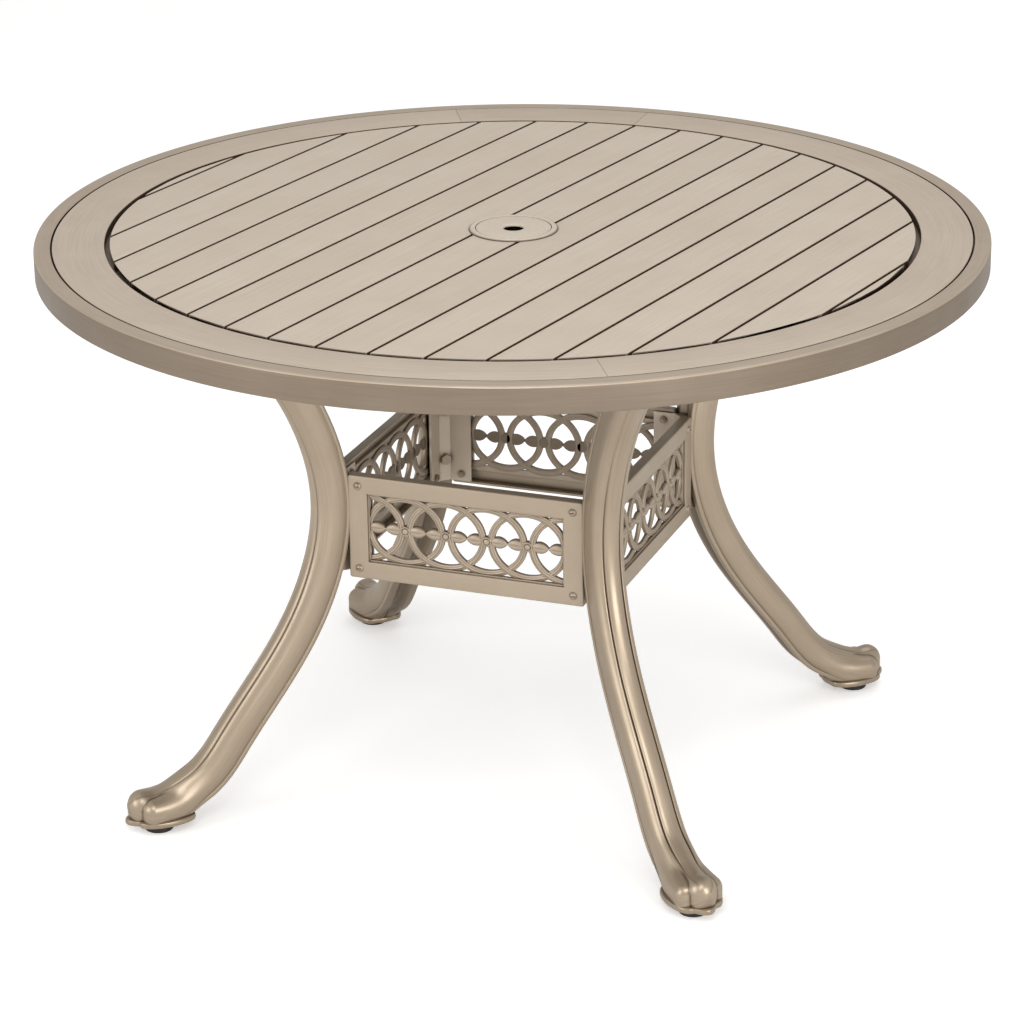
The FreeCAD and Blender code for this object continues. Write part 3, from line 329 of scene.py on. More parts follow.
@dataclass
class Finishes:
    """Every material of the table, made once."""

    made: dict[Finish, bpy.types.Material] = field(default_factory=dict)

    def build(self) -> "Finishes":
        """Makes every material.

        Returns:
            This object.
        """
        along, around = Grain.ALONG_PIECE, Grain.ROUND_AXIS
        recipes: dict[Finish, Any] = {
            # Coated sheet brushed down each slat: pale and silky, with fine lines lengthwise.
            Finish.SLAT: MetalPaint(
                "slat_aluminium_brushed_coat", "CFC2B2", "B1A290", "4A3422", 0.25, 0.56, along
            ),
            # The same sheet brushed round the table: its sheen turns as the boards do.
            Finish.BORDER: MetalPaint(
                "border_aluminium_brushed_coat", "C4B5A4", "A59582", "4A3827", 0.25, 0.54, around
            ),
            # The rolled hoop: a warmer, darker coat than the boards', partly painted shade for its
            # sideways band, with a brighter edge.
            Finish.RIM: MetalPaint(
                "rim_aluminium_brushed_coat", "B5A592", "93826E", "3E2E1E", 0.4, 0.42, around
            ),
            # Spun discs: fine rings round the umbrella hole.
            Finish.CAP: MetalPaint(
                "cap_aluminium_spun_coat", "D1C5B5", "B3A491", "35271A", 0.25, 0.55, around
            ),
            # Plain coated plate: even and quiet, for the brackets.
            Finish.FRAME: MetalPaint(
                "frame_aluminium_coat", "C9BBAA", "AC9C89", "4E3D2D", 0.35, 0.5
            ),
            # Coated tube and bar under the top: the same, darker, as little light gets there.
            Finish.UNDER: MetalPaint(
                "under_frame_aluminium_coat", "8E7F6D", "6B5D4C", "4E3D2D", 0.3, 0.55
            ),
            # Cast legs rubbed back on the beads: glossy ridges with brown in the grooves, painted
            # shade along with the glaze.
            Finish.LEG: MetalPaint(
                "leg_aluminium_cast_coat", "AC9C88", "8C7B66", "45331F", 0.55, 0.35, along,
                streak_share=0.3, streak_length_mm=110, corner_shade_mm=5.0,
            ),
            # Cast trays brushed along their sides: mitred lines, and brown where they meet the
            # lattice, painted shade along with glaze.
            Finish.PANEL: MetalPaint(
                "panel_aluminium_cast_coat", "AC9D8A", "94846F", "4E3D2C", 0.4, 0.42, along,
                streak_share=0.4, streak_length_mm=70,
            ),
            # Cast lattice: bright ridges over brown hollows, painted shade along with the glaze.
            Finish.LATTICE: MetalPaint(
                "lattice_aluminium_cast_coat", "B4A592", "8E7D68", "4A3826", 0.4, 0.42, along,
                streak_share=0.3, streak_length_mm=30, corner_shade_mm=5.0,
            ),
            # Painted screw heads: a little darker than what they hold.
            Finish.FIXING: MetalPaint(
                "screw_steel_painted", "A09180", "7C6D5B", "40301F", 0.4, 0.4, corner_shade_mm=3.0
            ),
            Finish.STEEL: ZincPlate(),
            Finish.RUBBER: MouldedRubber(),
        }
        for finish, recipe in recipes.items():
            self.made[finish] = recipe.build()
        return self

    def dress(self, piece: Piece, finish: Finish) -> None:
        """Gives a piece one finish in every material slot.

        Args:
            piece: the mesh object.
            finish: which material it takes.
        """
        if not piece.data.materials:
            piece.data.materials.append(self.made[finish])
        for slot in piece.material_slots:
            slot.material = self.made[finish]


# Mesh building


@dataclass
class Skin:
    """One piece's vertices and faces, with grain coordinates per corner and brown per vertex,
    painted shade with glaze.
    """

    points: list[Array] = field(default_factory=list)
    glaze_and_shade_share: list[Array] = field(default_factory=list)
    faces: list[list[int]] = field(default_factory=list)
    grain: list[list[Pair]] = field(default_factory=list)
    count: int = 0

    def add_grid(
        self,
        points: Array,
        along: Sequence[float] | Array,
        across: Sequence[float] | Array,
        ring: bool = False,
        ends: bool = False,
        glaze_and_shade_share: Array | float = 0.0,
    ) -> None:
        """Adds a sheet of quads over rows, each of them a closed outline.

        Args:
            points: rows by columns by three, in metres.
            along: grain coordinate of each row or of each point, with one more row for a ring.
            across: grain coordinate of each column, with one more to close the outline.
            ring: the last row joins the first.
            ends: the first and the last row are closed with one face each.
            glaze_and_shade_share: share of brown, painted shade along with glaze, one value or one
                per point.
        """
        rows, columns = points.shape[:2]
        first = self.count
        flat = np.asarray(points, float).reshape(-1, 3)
        self.points.append(flat)
        self.glaze_and_shade_share.append(np.broadcast_to(np.asarray(glaze_and_shade_share, float).ravel(), (len(flat),)).copy())
        self.count += len(flat)
        for i in range(rows if ring else rows - 1):
            near, far = (np.broadcast_to(along[row], columns) for row in (i, i + 1))
            for j in range(columns):
                k, m = (i + 1) % rows, (j + 1) % columns
                corners = ((i, j), (i, m), (k, m), (k, j))
                self.faces.append([first + a * columns + b for a, b in corners])
                left, right = across[j], across[j + 1]
                spots = [(near[j], left), (near[m], right), (far[m], right), (far[j], left)]
                self.grain.append(spots)
        if ends:
            start = list(range(first, first + columns))
            self.faces += [start[::-1], [(rows - 1) * columns + j for j in start]]
            self.grain += [[(0.0, 0.0)] * columns] * 2

    def build(
        self,
        name: str,
        turn: float = 0.0,
        tone: float = 0.0,
        smooth_limit: float = SMOOTH_LIMIT,
    ) -> Piece:
        """Makes the object.

        Args:
            name: the piece's name.
            turn: degrees about the table's axis.
            tone: share of the darker coat over the whole piece.
            smooth_limit: edges that turn more than this stay sharp.

        Returns:
            The new object, its place in its vertices.
        """
        places = np.vstack(self.points)
        mesh = bpy.data.meshes.new(name)
        mesh.from_pydata(places.tolist(), [], self.faces)
        layer = mesh.uv_layers.new(name="grain")
        flat = [value for face in self.grain for corner in face for value in corner]
        layer.data.foreach_set("uv", flat)
        shares = {"glaze_and_shade_share": np.concatenate(self.glaze_and_shade_share), "tone": np.full(len(places), tone)}
        for title, values in shares.items():
            store = mesh.attributes.new(title, "FLOAT", "POINT")
            store.data.foreach_set("value", values.astype(np.float32))
        work = bmesh.new()
        work.from_mesh(mesh)
        bmesh.ops.recalc_face_normals(work, faces=work.faces)
        work.to_mesh(mesh)
        work.free()
        if turn:
            mesh.transform(Matrix.Rotation(math.radians(turn), 4, "Z"))
        mesh.shade_smooth()
        mesh.set_sharp_from_angle(angle=smooth_limit)
        piece = bpy.data.objects.new(name, mesh)
        bpy.context.scene.collection.objects.link(piece)
        return piece


def rounded_outline(corners: Sequence[Corner], steps: int = 5) -> Array:
    """A closed outline whose corners are rounded.

    Args:
        corners: across, up and corner radius of each corner.
        steps: points on each rounded corner.

    Returns:
        Points, one row each.
    """
    count = len(corners)
    made: list[Pair] = []
    for index, (x, y, radius) in enumerate(corners):
        here = np.array((x, y))
        if radius <= 0:
            made.append((x, y))
            continue
        before = np.array(corners[index - 1][:2]) - here
        after = np.array(corners[(index + 1) % count][:2]) - here
        before_length, after_length = np.linalg.norm(before), np.linalg.norm(after)
        before, after = before / before_length, after / after_length
        half = math.acos(max(-1.0, min(1.0, float(before @ after)))) / 2
        reach = min(radius / math.tan(half), 0.49 * before_length, 0.49 * after_length)
        radius = reach * math.tan(half)
        inward = (before + after) / np.linalg.norm(before + after)
        middle = here + inward * radius / math.sin(half)
        start, end = here + before * reach - middle, here + after * reach - middle
        sweep = math.atan2(start[0] * end[1] - start[1] * end[0], float(start @ end))
        for step in range(steps + 1):
            angle = sweep * step / steps
            c, s = math.cos(angle), math.sin(angle)
            turned = (start[0] * c - start[1] * s, start[0] * s + start[1] * c)
            spot = middle + np.array(turned)
            made.append((float(spot[0]), float(spot[1])))
    return np.array(made)


def rectangle(low: Sequence[float], high: Sequence[float], radius: float) -> list[Corner]:
    """Corners of a rectangle, each with the same radius, from the low left one round."""
    spots = ((low[0], low[1]), (high[0], low[1]), (high[0], high[1]), (low[0], high[1]))
    return [(x, y, radius) for x, y in spots]


def path_length(points: Array, closed: bool = False) -> Array:
    """Distance along a line of points.

    Args:
        points: one row each.
        closed: the step back to the first point comes last.

    Returns:
        One distance per point, with one more if the line is closed.
    """
    around = np.vstack([points, points[:1]]) if closed else points
    steps = np.linalg.norm(np.diff(around, axis=0), axis=1)
    return np.concatenate([[0.0], np.cumsum(steps)])


def turned_rows(outline: Array, angles: Array, centre: Sequence[float]) -> Array:
    """An outline at each of several angles about an upright axis.

    Args:
        outline: radius and height of each point.
        angles: in radians.
        centre: where the axis stands.

    Returns:
        Angles by points by three.
    """
    ways = np.stack([np.cos(angles), np.sin(angles)], axis=1)
    flat = np.array(centre) + outline[None, :, :1] * ways[:, None]
    height = np.broadcast_to(outline[:, 1:], (len(angles), len(outline), 1))
    return np.concatenate([flat, height], axis=2)


def add_turned(
    skin: Skin,
    outline: Array,
    steps: int,
    centre: Pair = (0.0, 0.0),
    start: float = 0.0,
    end: float = 360.0,
    glaze_and_shade_share: Array | float = 0.0,
) -> None:
    """Adds a ring turned from a closed half section.

    Args:
        skin: where the faces go.
        outline: radius and height of each point, in metres.
        steps: how many steps the full ring has.
        centre: where the upright axis stands.
        start: first angle in degrees.
        end: last angle in degrees; a full turn closes the ring.
        glaze_and_shade_share: share of brown, painted shade along with glaze, one value or one per
            point of the outline.
    """
    whole = abs(end - start - 360) < 1e-6
    count = steps if whole else max(2, int(steps * (end - start) / 360)) + 1
    angles = np.radians(np.linspace(start, end, count, endpoint=not whole))
    rows = turned_rows(outline, angles, centre)
    along = np.append(angles, angles[0] + FULL_TURN) * float(outline[:, 0].max())
    glaze_shade_values = np.broadcast_to(np.asarray(glaze_and_shade_share, float), (count, len(outline)))
    skin.add_grid(rows, along, path_length(outline, True), ring=whole, ends=not whole, glaze_and_shade_share=glaze_shade_values)


def add_lathe_solid(skin: Skin, profile: Sequence[Pair], steps: int, centre: Pair) -> None:
    """Adds a solid of revolution from an open profile.

    Args:
        skin: where the faces go.
        profile: radius and height in metres, from the lower end to the upper.
        steps: points around.
        centre: where the upright axis stands.
    """
    outline = np.array(profile)
    angles = np.linspace(0, FULL_TURN, steps, endpoint=False)
    grid = turned_rows(outline, angles, centre).transpose(1, 0, 2)
    across = np.linspace(0, FULL_TURN * outline[:, 0].max(), steps + 1)
    skin.add_grid(grid, path_length(outline), across, ends=True)


def add_block(skin: Skin, low: Sequence[float], high: Sequence[float], ease: float) -> None:
    """Adds a block whose upright edges are rounded and whose ends are eased.

    Args:
        skin: where the faces go.
        low: lowest corner in metres.
        high: highest corner in metres.
        ease: edge radius in metres.
    """
    outline = rounded_outline(rectangle(low, high, ease), 3)
    near, far = np.array(low[:2]), np.array(high[:2])
    middle, half, inset = (near + far) / 2, (far - near) / 2, 0.6 * ease
    shrink = (half - inset) / half
    levels = [(low[2], shrink), (low[2] + inset, 1.0), (high[2] - inset, 1.0), (high[2], shrink)]
    rows = [
        np.column_stack([middle + (outline - middle) * scale, np.full(len(outline), height)])
        for height, scale in levels
    ]
    heights = [height for height, _ in levels]
    skin.add_grid(np.stack(rows), heights, path_length(outline, True), ends=True)


def fit_piece(
    piece: Piece, body: str, nodes: Sequence[str], finishes: Finishes, finish: Finish
) -> None:
    """Puts a piece on its body in place of its nodes and dresses it.

    Args:
        piece: the finished mesh object.
        body: the body that it rides on.
        nodes: nodes that it stands for.
        finishes: the materials.
        finish: which one it takes.
    """
    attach(piece, body)
    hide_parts(*nodes)
    finishes.dress(piece, finish)
    log.info("%s: %d faces", piece.name, len(piece.data.polygons))


# The round top


@dataclass
class RoundTop:
    """Rim hoop, border boards, slats and what shows under them."""

    finishes: Finishes
    height: float = 740 * MM
    radius: float = 609.6 * MM
    rim_height: float = 35 * MM
    rim_wall: float = 3 * MM
    rim_edge: float = 3.5 * MM
    band_glaze_and_shade: float = 0.62
    crown_width: float = 21 * MM
    lip_width: float = 15 * MM
    groove: float = 2.1 * MM
    border_width: float = 66 * MM
    border_tones: tuple[float, ...] = (0.05, 0.22, 0.0)
    board_height: float = 12 * MM
    board_skin: float = 2 * MM
    board_ease: float = 1.3 * MM
    slat_pitch: float = 66.8 * MM
    slat_gap: float = 3.9 * MM
    slat_count: int = 17
    slat_end_gap: float = 7 * MM
    slat_turn: float = 80.0
    slat_smooth: float = math.radians(30)
    hole_radius: float = 51.9 * MM
    seams: tuple[float, ...] = (-59.0, 91.5, 118.5, 301.0)
    seam_gap: float = 0.4 * MM
    steps: int = 360

    @property
    def crown_radius(self) -> float:
        """Inner edge of the rim's crown."""
        return self.radius - self.crown_width

    @property
    def border_inner(self) -> float:
        """Inner edge of the border boards."""
        return self.crown_radius - self.groove - self.border_width

    @property
    def field_radius(self) -> float:
        """Radius that the slats are trimmed to."""
        return self.border_inner - self.slat_end_gap

    def build(self) -> None:
        """Builds every piece of the top."""
        self.build_rim()
        self.build_border()
        for number in range(1, self.slat_count + 1):
            self.build_slat(number)

    def build_rim(self) -> None:
        """Builds the hoop with its rolled top edge."""
        low, top = self.height - self.rim_height, self.height
        wall, outer, crown = self.rim_wall, self.radius, self.crown_radius
        lip = outer - self.lip_width
        corners = [
            (crown, top - wall, 0.3 * MM),
            (crown, top, 0.9 * MM),
            (outer, top, self.rim_edge),
            (outer, top - self.rim_edge - 2.5 * MM, 0),
            (outer, low, 1.2 * MM),
            (lip, low, 0.8 * MM),
            (lip, low + wall, 0.8 * MM),
            (outer - wall, low + wall, 2 * MM),
            (outer - wall, top - wall, 3 * MM),
        ]
        outline = rounded_outline(corners, 7)
        # Brown on the crown's inner edge, down into the groove by the border: painted shade along
        # with the glaze.
        glaze_and_shade_share = self.glaze_and_shade(outline) * (outline[:, 0] < crown + 2 * MM)
        # The upright band is drawn darker: painted shade on the sideways-facing band, along with
        # the glaze it holds.
        band = (outline[:, 0] > outer - 1 * MM) & (outline[:, 1] < top - 0.6 * self.rim_edge)
        skin = Skin()
        add_turned(skin, outline, self.steps, glaze_and_shade_share=np.where(band, self.band_glaze_and_shade, glaze_and_shade_share))
        piece = skin.build("rim_hoop_dressed")
        fit_piece(piece, "frame", ["rim_hoop"], self.finishes, Finish.RIM)

    def glaze_and_shade(self, outline: Array) -> Array:
        """Share of brown down a section: none on the face, more down the sides of a gap, painted
        shade along with glaze.
        """
        return np.clip((self.height - outline[:, 1] - 0.15 * MM) / (0.8 * MM), 0, 1)

    def board_outline(self, near: float, far: float) -> Array:
        """Closed section of a board that is open below.

        Args:
            near: its lower coordinate across the board.
            far: its higher coordinate across the board.

        Returns:
            Points across and up.
        """
        top, base, skin = self.height, self.height - self.board_height, self.board_skin
        ease, inner = self.board_ease, 0.8 * MM
        left, right, under = near + skin, far - skin, top - skin
        corners = [(near, base, 0), (near, top, ease), (far, top, ease), (far, base, 0)]
        corners += [(right, base, 0), (right, under, inner), (left, under, inner), (left, base, 0)]
        return rounded_outline(corners, 4)

    def sliver_outline(self, near: float) -> Array:
        """Closed section of the narrow first and last slats, whose far side the field cuts off.

        Args:
            near: where it begins across the table.

        Returns:
            Points across and up.
        """
        top, base, skin = self.height, self.height - self.board_height, self.board_skin
        far, left, under = self.field_radius - 0.02 * MM, near + skin, top - skin
        corners = [(near, base, 0), (near, top, self.board_ease), (far, top, 0)]
        corners += [(far, under, 0), (left, under, 0), (left, base, 0)]
        return rounded_outline(corners, 4)

    def build_border(self) -> None:
        """Builds the border boards between their seams."""
        outline = self.board_outline(self.border_inner, self.crown_radius - self.groove)
        trim = math.degrees(self.seam_gap / self.border_inner / 2)
        for number, tone in enumerate(self.border_tones):
            skin = Skin()
            start, end = self.seams[number] + trim, self.seams[number + 1] - trim
            # Brown down the boards' sides and into the groove: painted shade along with the glaze.
            glaze_and_shade_share = self.glaze_and_shade(outline)
            add_turned(skin, outline, self.steps, start=start, end=end, glaze_and_shade_share=glaze_and_shade_share)
            name = "border_board_%d" % (number + 1)
            piece = skin.build(name + "_dressed", tone=tone)
            fit_piece(piece, "frame", [name], self.finishes, Finish.BORDER)

    def slat_section(self, middle: float) -> Array:
        """Section of a slat with extra points over its face, so that its ends follow the field.

        Args:
            middle: how far the slat lies from the table's middle.

        Returns:
            Points across and up.
        """
        half = (self.slat_pitch - self.slat_gap) / 2
        if middle + half > self.field_radius:
            outline, spacing = self.sliver_outline(middle - half), 0.8 * MM
        else:
            outline, spacing = self.board_outline(middle - half, middle + half), 6 * MM
        filled: list[Array] = []
        for index, spot in enumerate(outline):
            after = outline[(index + 1) % len(outline)]
            steps = max(1, int(round(np.linalg.norm(after - spot) / spacing)))
            filled += [spot + (after - spot) * k / steps for k in range(steps)]
        return np.array(filled)

    def build_slat(self, number: int) -> None:
        """Builds one slat, in two lengths where the umbrella hole parts it.

        Args:
            number: its place in the row, from 1.
        """
        middle = (number - (self.slat_count + 1) / 2) * self.slat_pitch
        outline = self.slat_section(abs(middle)) * (1.0 if middle >= 0 else -1.0, 1.0)
        reach, hole = (
            np.sqrt(np.maximum(0, radius**2 - outline[:, 0] ** 2))
            for radius in (self.field_radius, self.hole_radius)
        )
        # A slow wave down the row, so that neighbours differ a little in tone.
        tone = 0.16 * (0.5 + 0.5 * math.sin(number * 2.4 + 0.7))
        near_edge = abs(middle) - (self.slat_pitch - self.slat_gap) / 2
        spans = [("", -reach, reach)]
        if near_edge < 0:
            spans = [("_near", -reach, -hole), ("_far", hole, reach)]
            near_edge = self.hole_radius
        for tail, start, end in spans:
            skin = Skin()
            rows = self.slat_rows(outline, start, end, near_edge)
            # The shift keeps the brush lines of one slat from running on in the next.
            lengths = rows[:, :, 0] + number * 3.1
            # Brown down the slat's sides, into the gaps between slats: painted shade along with the
            # glaze.
            glaze_shade_values = np.broadcast_to(self.glaze_and_shade(outline), rows.shape[:2])
            skin.add_grid(rows, lengths, path_length(outline, True), ends=True, glaze_and_shade_share=glaze_shade_values)
            name = "slat_%02d%s" % (number, tail)
            piece = skin.build(name + "_dressed", self.slat_turn, tone, self.slat_smooth)
            fit_piece(piece, "frame", [name], self.finishes, Finish.SLAT)

    def slat_rows(self, outline: Array, start: Array, end: Array, near: float) -> Array:
        """Rows of points down a slat, drawn in where the umbrella hole bites its near edge.

        Args:
            outline: the slat's section.
            start: where each of its points begins.
            end: where each of its points ends.
            near: how far the near edge lies from the table's middle.

        Returns:
            Rows by columns by three.
        """
        shares = np.linspace(0, 1, 9)[:, None]
        if near >= self.hole_radius:
            along = start + (end - start) * shares
            flat = np.broadcast_to(outline.T[:, None], (2, *along.shape))
            return np.stack([along, *flat], axis=2)
        bite = math.sqrt(self.hole_radius**2 - near**2)
        inner = np.linspace(-bite, bite, 33)[:, None] + 0 * start
        before = start + (-bite - start) * shares[:-1]
        along = np.vstack([before, inner, bite + (end - bite) * shares[1:]])
        edge = np.sqrt(np.maximum(near**2, self.hole_radius**2 - along**2))
        width = np.abs(outline[:, 0])
        squeeze = (width.max() - width) / (width.max() - near)
        across = np.sign(outline[:, 0]) * (width.max() - squeeze * (width.max() - edge))
        return np.stack([along, across, np.broadcast_to(outline[:, 1], along.shape)], axis=2)


# The umbrella hole's trim


@dataclass
class UmbrellaHole:
    """Fixed ring and lift-out cap in the middle of the top."""

    finishes: Finishes
    top: float = 740 * MM
    ring_outer: float = 57.5 * MM
    ring_stand: float = 2.5 * MM
    ring_flange_shadow: float = 0.9
    barrel_outer: float = 51.5 * MM
    barrel_inner: float = 49.1 * MM
    barrel_depth: float = 12 * MM
    ledge_inner: float = 45.1 * MM
    ledge_drop: float = 1 * MM
    ledge_thick: float = 2 * MM
    cap_edge: float = 48.7 * MM
    cap_thick: float = 3.3 * MM
    finger_hole: float = 13 * MM
    skirt_outer: float = 44.7 * MM
    skirt_wall: float = 2 * MM
    skirt_depth: float = 9 * MM
    ease: float = 0.6 * MM
    steps: int = 128

    def build(self) -> None:
        """Builds the ring and the cap."""
        ease, stand, seat = self.ease, self.top + self.ring_stand, self.top - self.ledge_drop
        barrel, foot = self.barrel_inner, self.top - self.barrel_depth
        corners = [
            (self.barrel_outer, foot, 0),
            (self.barrel_outer, self.top, 0),
            (self.ring_outer, self.top, 0),
            (self.ring_outer, self.top + 0.7 * MM, 0.5 * MM),
            (self.ring_outer - 3.2 * MM, stand, 1.6 * MM),
            (barrel, stand, ease),
            (barrel, seat, 0.2 * MM),
            (self.ledge_inner, seat, ease),
            (self.ledge_inner, seat - self.ledge_thick, ease),
            (barrel, seat - self.ledge_thick, 0),
            (barrel, foot, 0),
        ]
        ring = rounded_outline(corners, 4)
        # Painted shadow under the ring's flange, at its outer foot where it meets the top.
        under = (ring[:, 1] < self.top + 0.9 * MM) & (ring[:, 0] > self.barrel_outer + 1 * MM)
        skin = Skin()
        add_turned(skin, ring, self.steps, glaze_and_shade_share=np.where(under, self.ring_flange_shadow, 0.0))
        piece = skin.build("umbrella_ring_dressed")
        fit_piece(piece, "frame", ["umbrella_ring"], self.finishes, Finish.CAP)
        crown, hem = seat + self.cap_thick, seat - self.skirt_depth
        hole, skirt = self.finger_hole, self.skirt_outer
        corners = [
            (hole, seat, 0.4 * MM),
            (hole, crown - 0.9 * MM, 1.2 * MM),
            (hole + 5 * MM, crown, 3 * MM),
            (self.cap_edge, crown, 1.5 * MM),
            (self.cap_edge, seat, 0.3 * MM),
            (skirt, seat, 0),
            (skirt, hem, ease),
            (skirt - self.skirt_wall, hem, ease),
            (skirt - self.skirt_wall, seat, 1 * MM),
        ]
        skin = Skin()
        add_turned(skin, rounded_outline(corners, 5), self.steps)
        piece = skin.build("umbrella_cap_dressed")
        fit_piece(piece, "cap", ["umbrella_cap"], self.finishes, Finish.CAP)


# The apron box


@dataclass
class ApronPanel:
    """One panel of the apron box: a shallow tray with a window, its grain mitred at the corners."""

    finishes: Finishes
    plane: float = 190 * MM
    width: float = 320 * MM
    height: float = 141 * MM
    bottom: float = 311 * MM
    depth: float = 14 * MM
    face: float = 3 * MM
    flange: float = 3 * MM
    corner: float = 3 * MM
    stile: float = 26.5 * MM
    rail: float = 23.8 * MM
    edge: float = 2.2 * MM
    lip: float = 0.9 * MM
    small: float = 0.6 * MM
    screw_inset: float = 14 * MM
    boss_radius: float = 8 * MM
    hole_radius: float = 2.75 * MM

    def loop(self, half_width: float, half_height: float, corner: float, back: float) -> Array:
        """A rounded rectangle that stands at a depth behind the panel's face.

        Args:
            half_width: half its width.
            half_height: half its height.
            corner: its corner radius.
            back: how far behind the face it stands.

        Returns:
            Points, one row each.
        """
        low, high = (-half_width, -half_height), (half_width, half_height)
        flat = rounded_outline(rectangle(low, high, corner), 5)
        middle, face = self.bottom + self.height / 2, np.full(len(flat), -self.plane + back)
        return np.stack([flat[:, 0], face, flat[:, 1] + middle], axis=1)

    def build(self, side: str, turn: float) -> None:
        """Builds the panel of one side.

        Args:
            side: the side's name.
            turn: its turn in degrees about the table's axis.
        """
        w, h = self.width / 2, self.height / 2
        window_w, window_h = w - self.stile, h - self.rail
        edge, lip, small = self.edge, self.lip, self.small
        sizes = [(w, h, self.corner, self.depth)]
        for angle in np.linspace(0, QUARTER_TURN, 6):
            inset = edge * (1 - math.cos(angle))
            sizes.append((w - inset, h - inset, self.corner, edge * (1 - math.sin(angle))))
        for share in (0.35, 0.7):
            half_w = (w - edge) + (window_w + lip - w + edge) * share
            half_h = (h - edge) + (window_h + lip - h + edge) * share
            sizes.append((half_w, half_h, small + (self.corner - small) * (1 - share), 0.0))
        for angle in np.linspace(0, QUARTER_TURN, 5):
            out = lip * (1 - math.sin(angle))
            sizes.append((window_w + out, window_h + out, small, lip * (1 - math.cos(angle))))
        sizes.append((window_w, window_h, small, self.face))
        inner_w, inner_h = w - self.flange, h - self.flange
        sizes += [(inner_w, inner_h, small, back) for back in (self.face, self.depth)]
        rows = [self.loop(*size) for size in sizes]
        across = [float(np.linalg.norm(r[0] - rows[0][0])) + 0.05 * k for k, r in enumerate(rows)]
        across.append(across[-1] + self.flange)
        skin = Skin()
        grid = np.stack(rows).transpose(1, 0, 2)
        skin.add_grid(grid, path_length(rows[1], True), across, ring=True)
        for x in (-1, 1):
            for z in (-1, 1):
                reach_w, reach_h = w - self.screw_inset, h - self.screw_inset
                self.add_boss(skin, (x * reach_w, self.bottom + h + z * reach_h))
        name = "panel_" + side
        piece = skin.build(name + "_dressed", turn)
        fit_piece(piece, "frame", [name], self.finishes, Finish.PANEL)

    def add_boss(self, skin: Skin, spot: Pair) -> None:
        """Adds one bored screw boss behind the face.

        Args:
            skin: where the faces go.
            spot: its middle, along the panel and up.
        """
        back, front = self.depth - self.plane, self.face - 0.4 * MM - self.plane
        bore, radius = self.hole_radius, self.boss_radius
        corners = [(bore, front, 0), (radius, front, 0)]
        corners += [(radius, back, 0.8 * MM), (bore, back, 0.3 * MM)]
        outline = rounded_outline(corners, 3)
        angles = np.linspace(0, FULL_TURN, 32, endpoint=False)
        rows = turned_rows(outline, angles, spot)[..., [0, 2, 1]]
        along = np.append(angles, FULL_TURN) * radius
        skin.add_grid(rows, along, path_length(outline, True), ring=True)


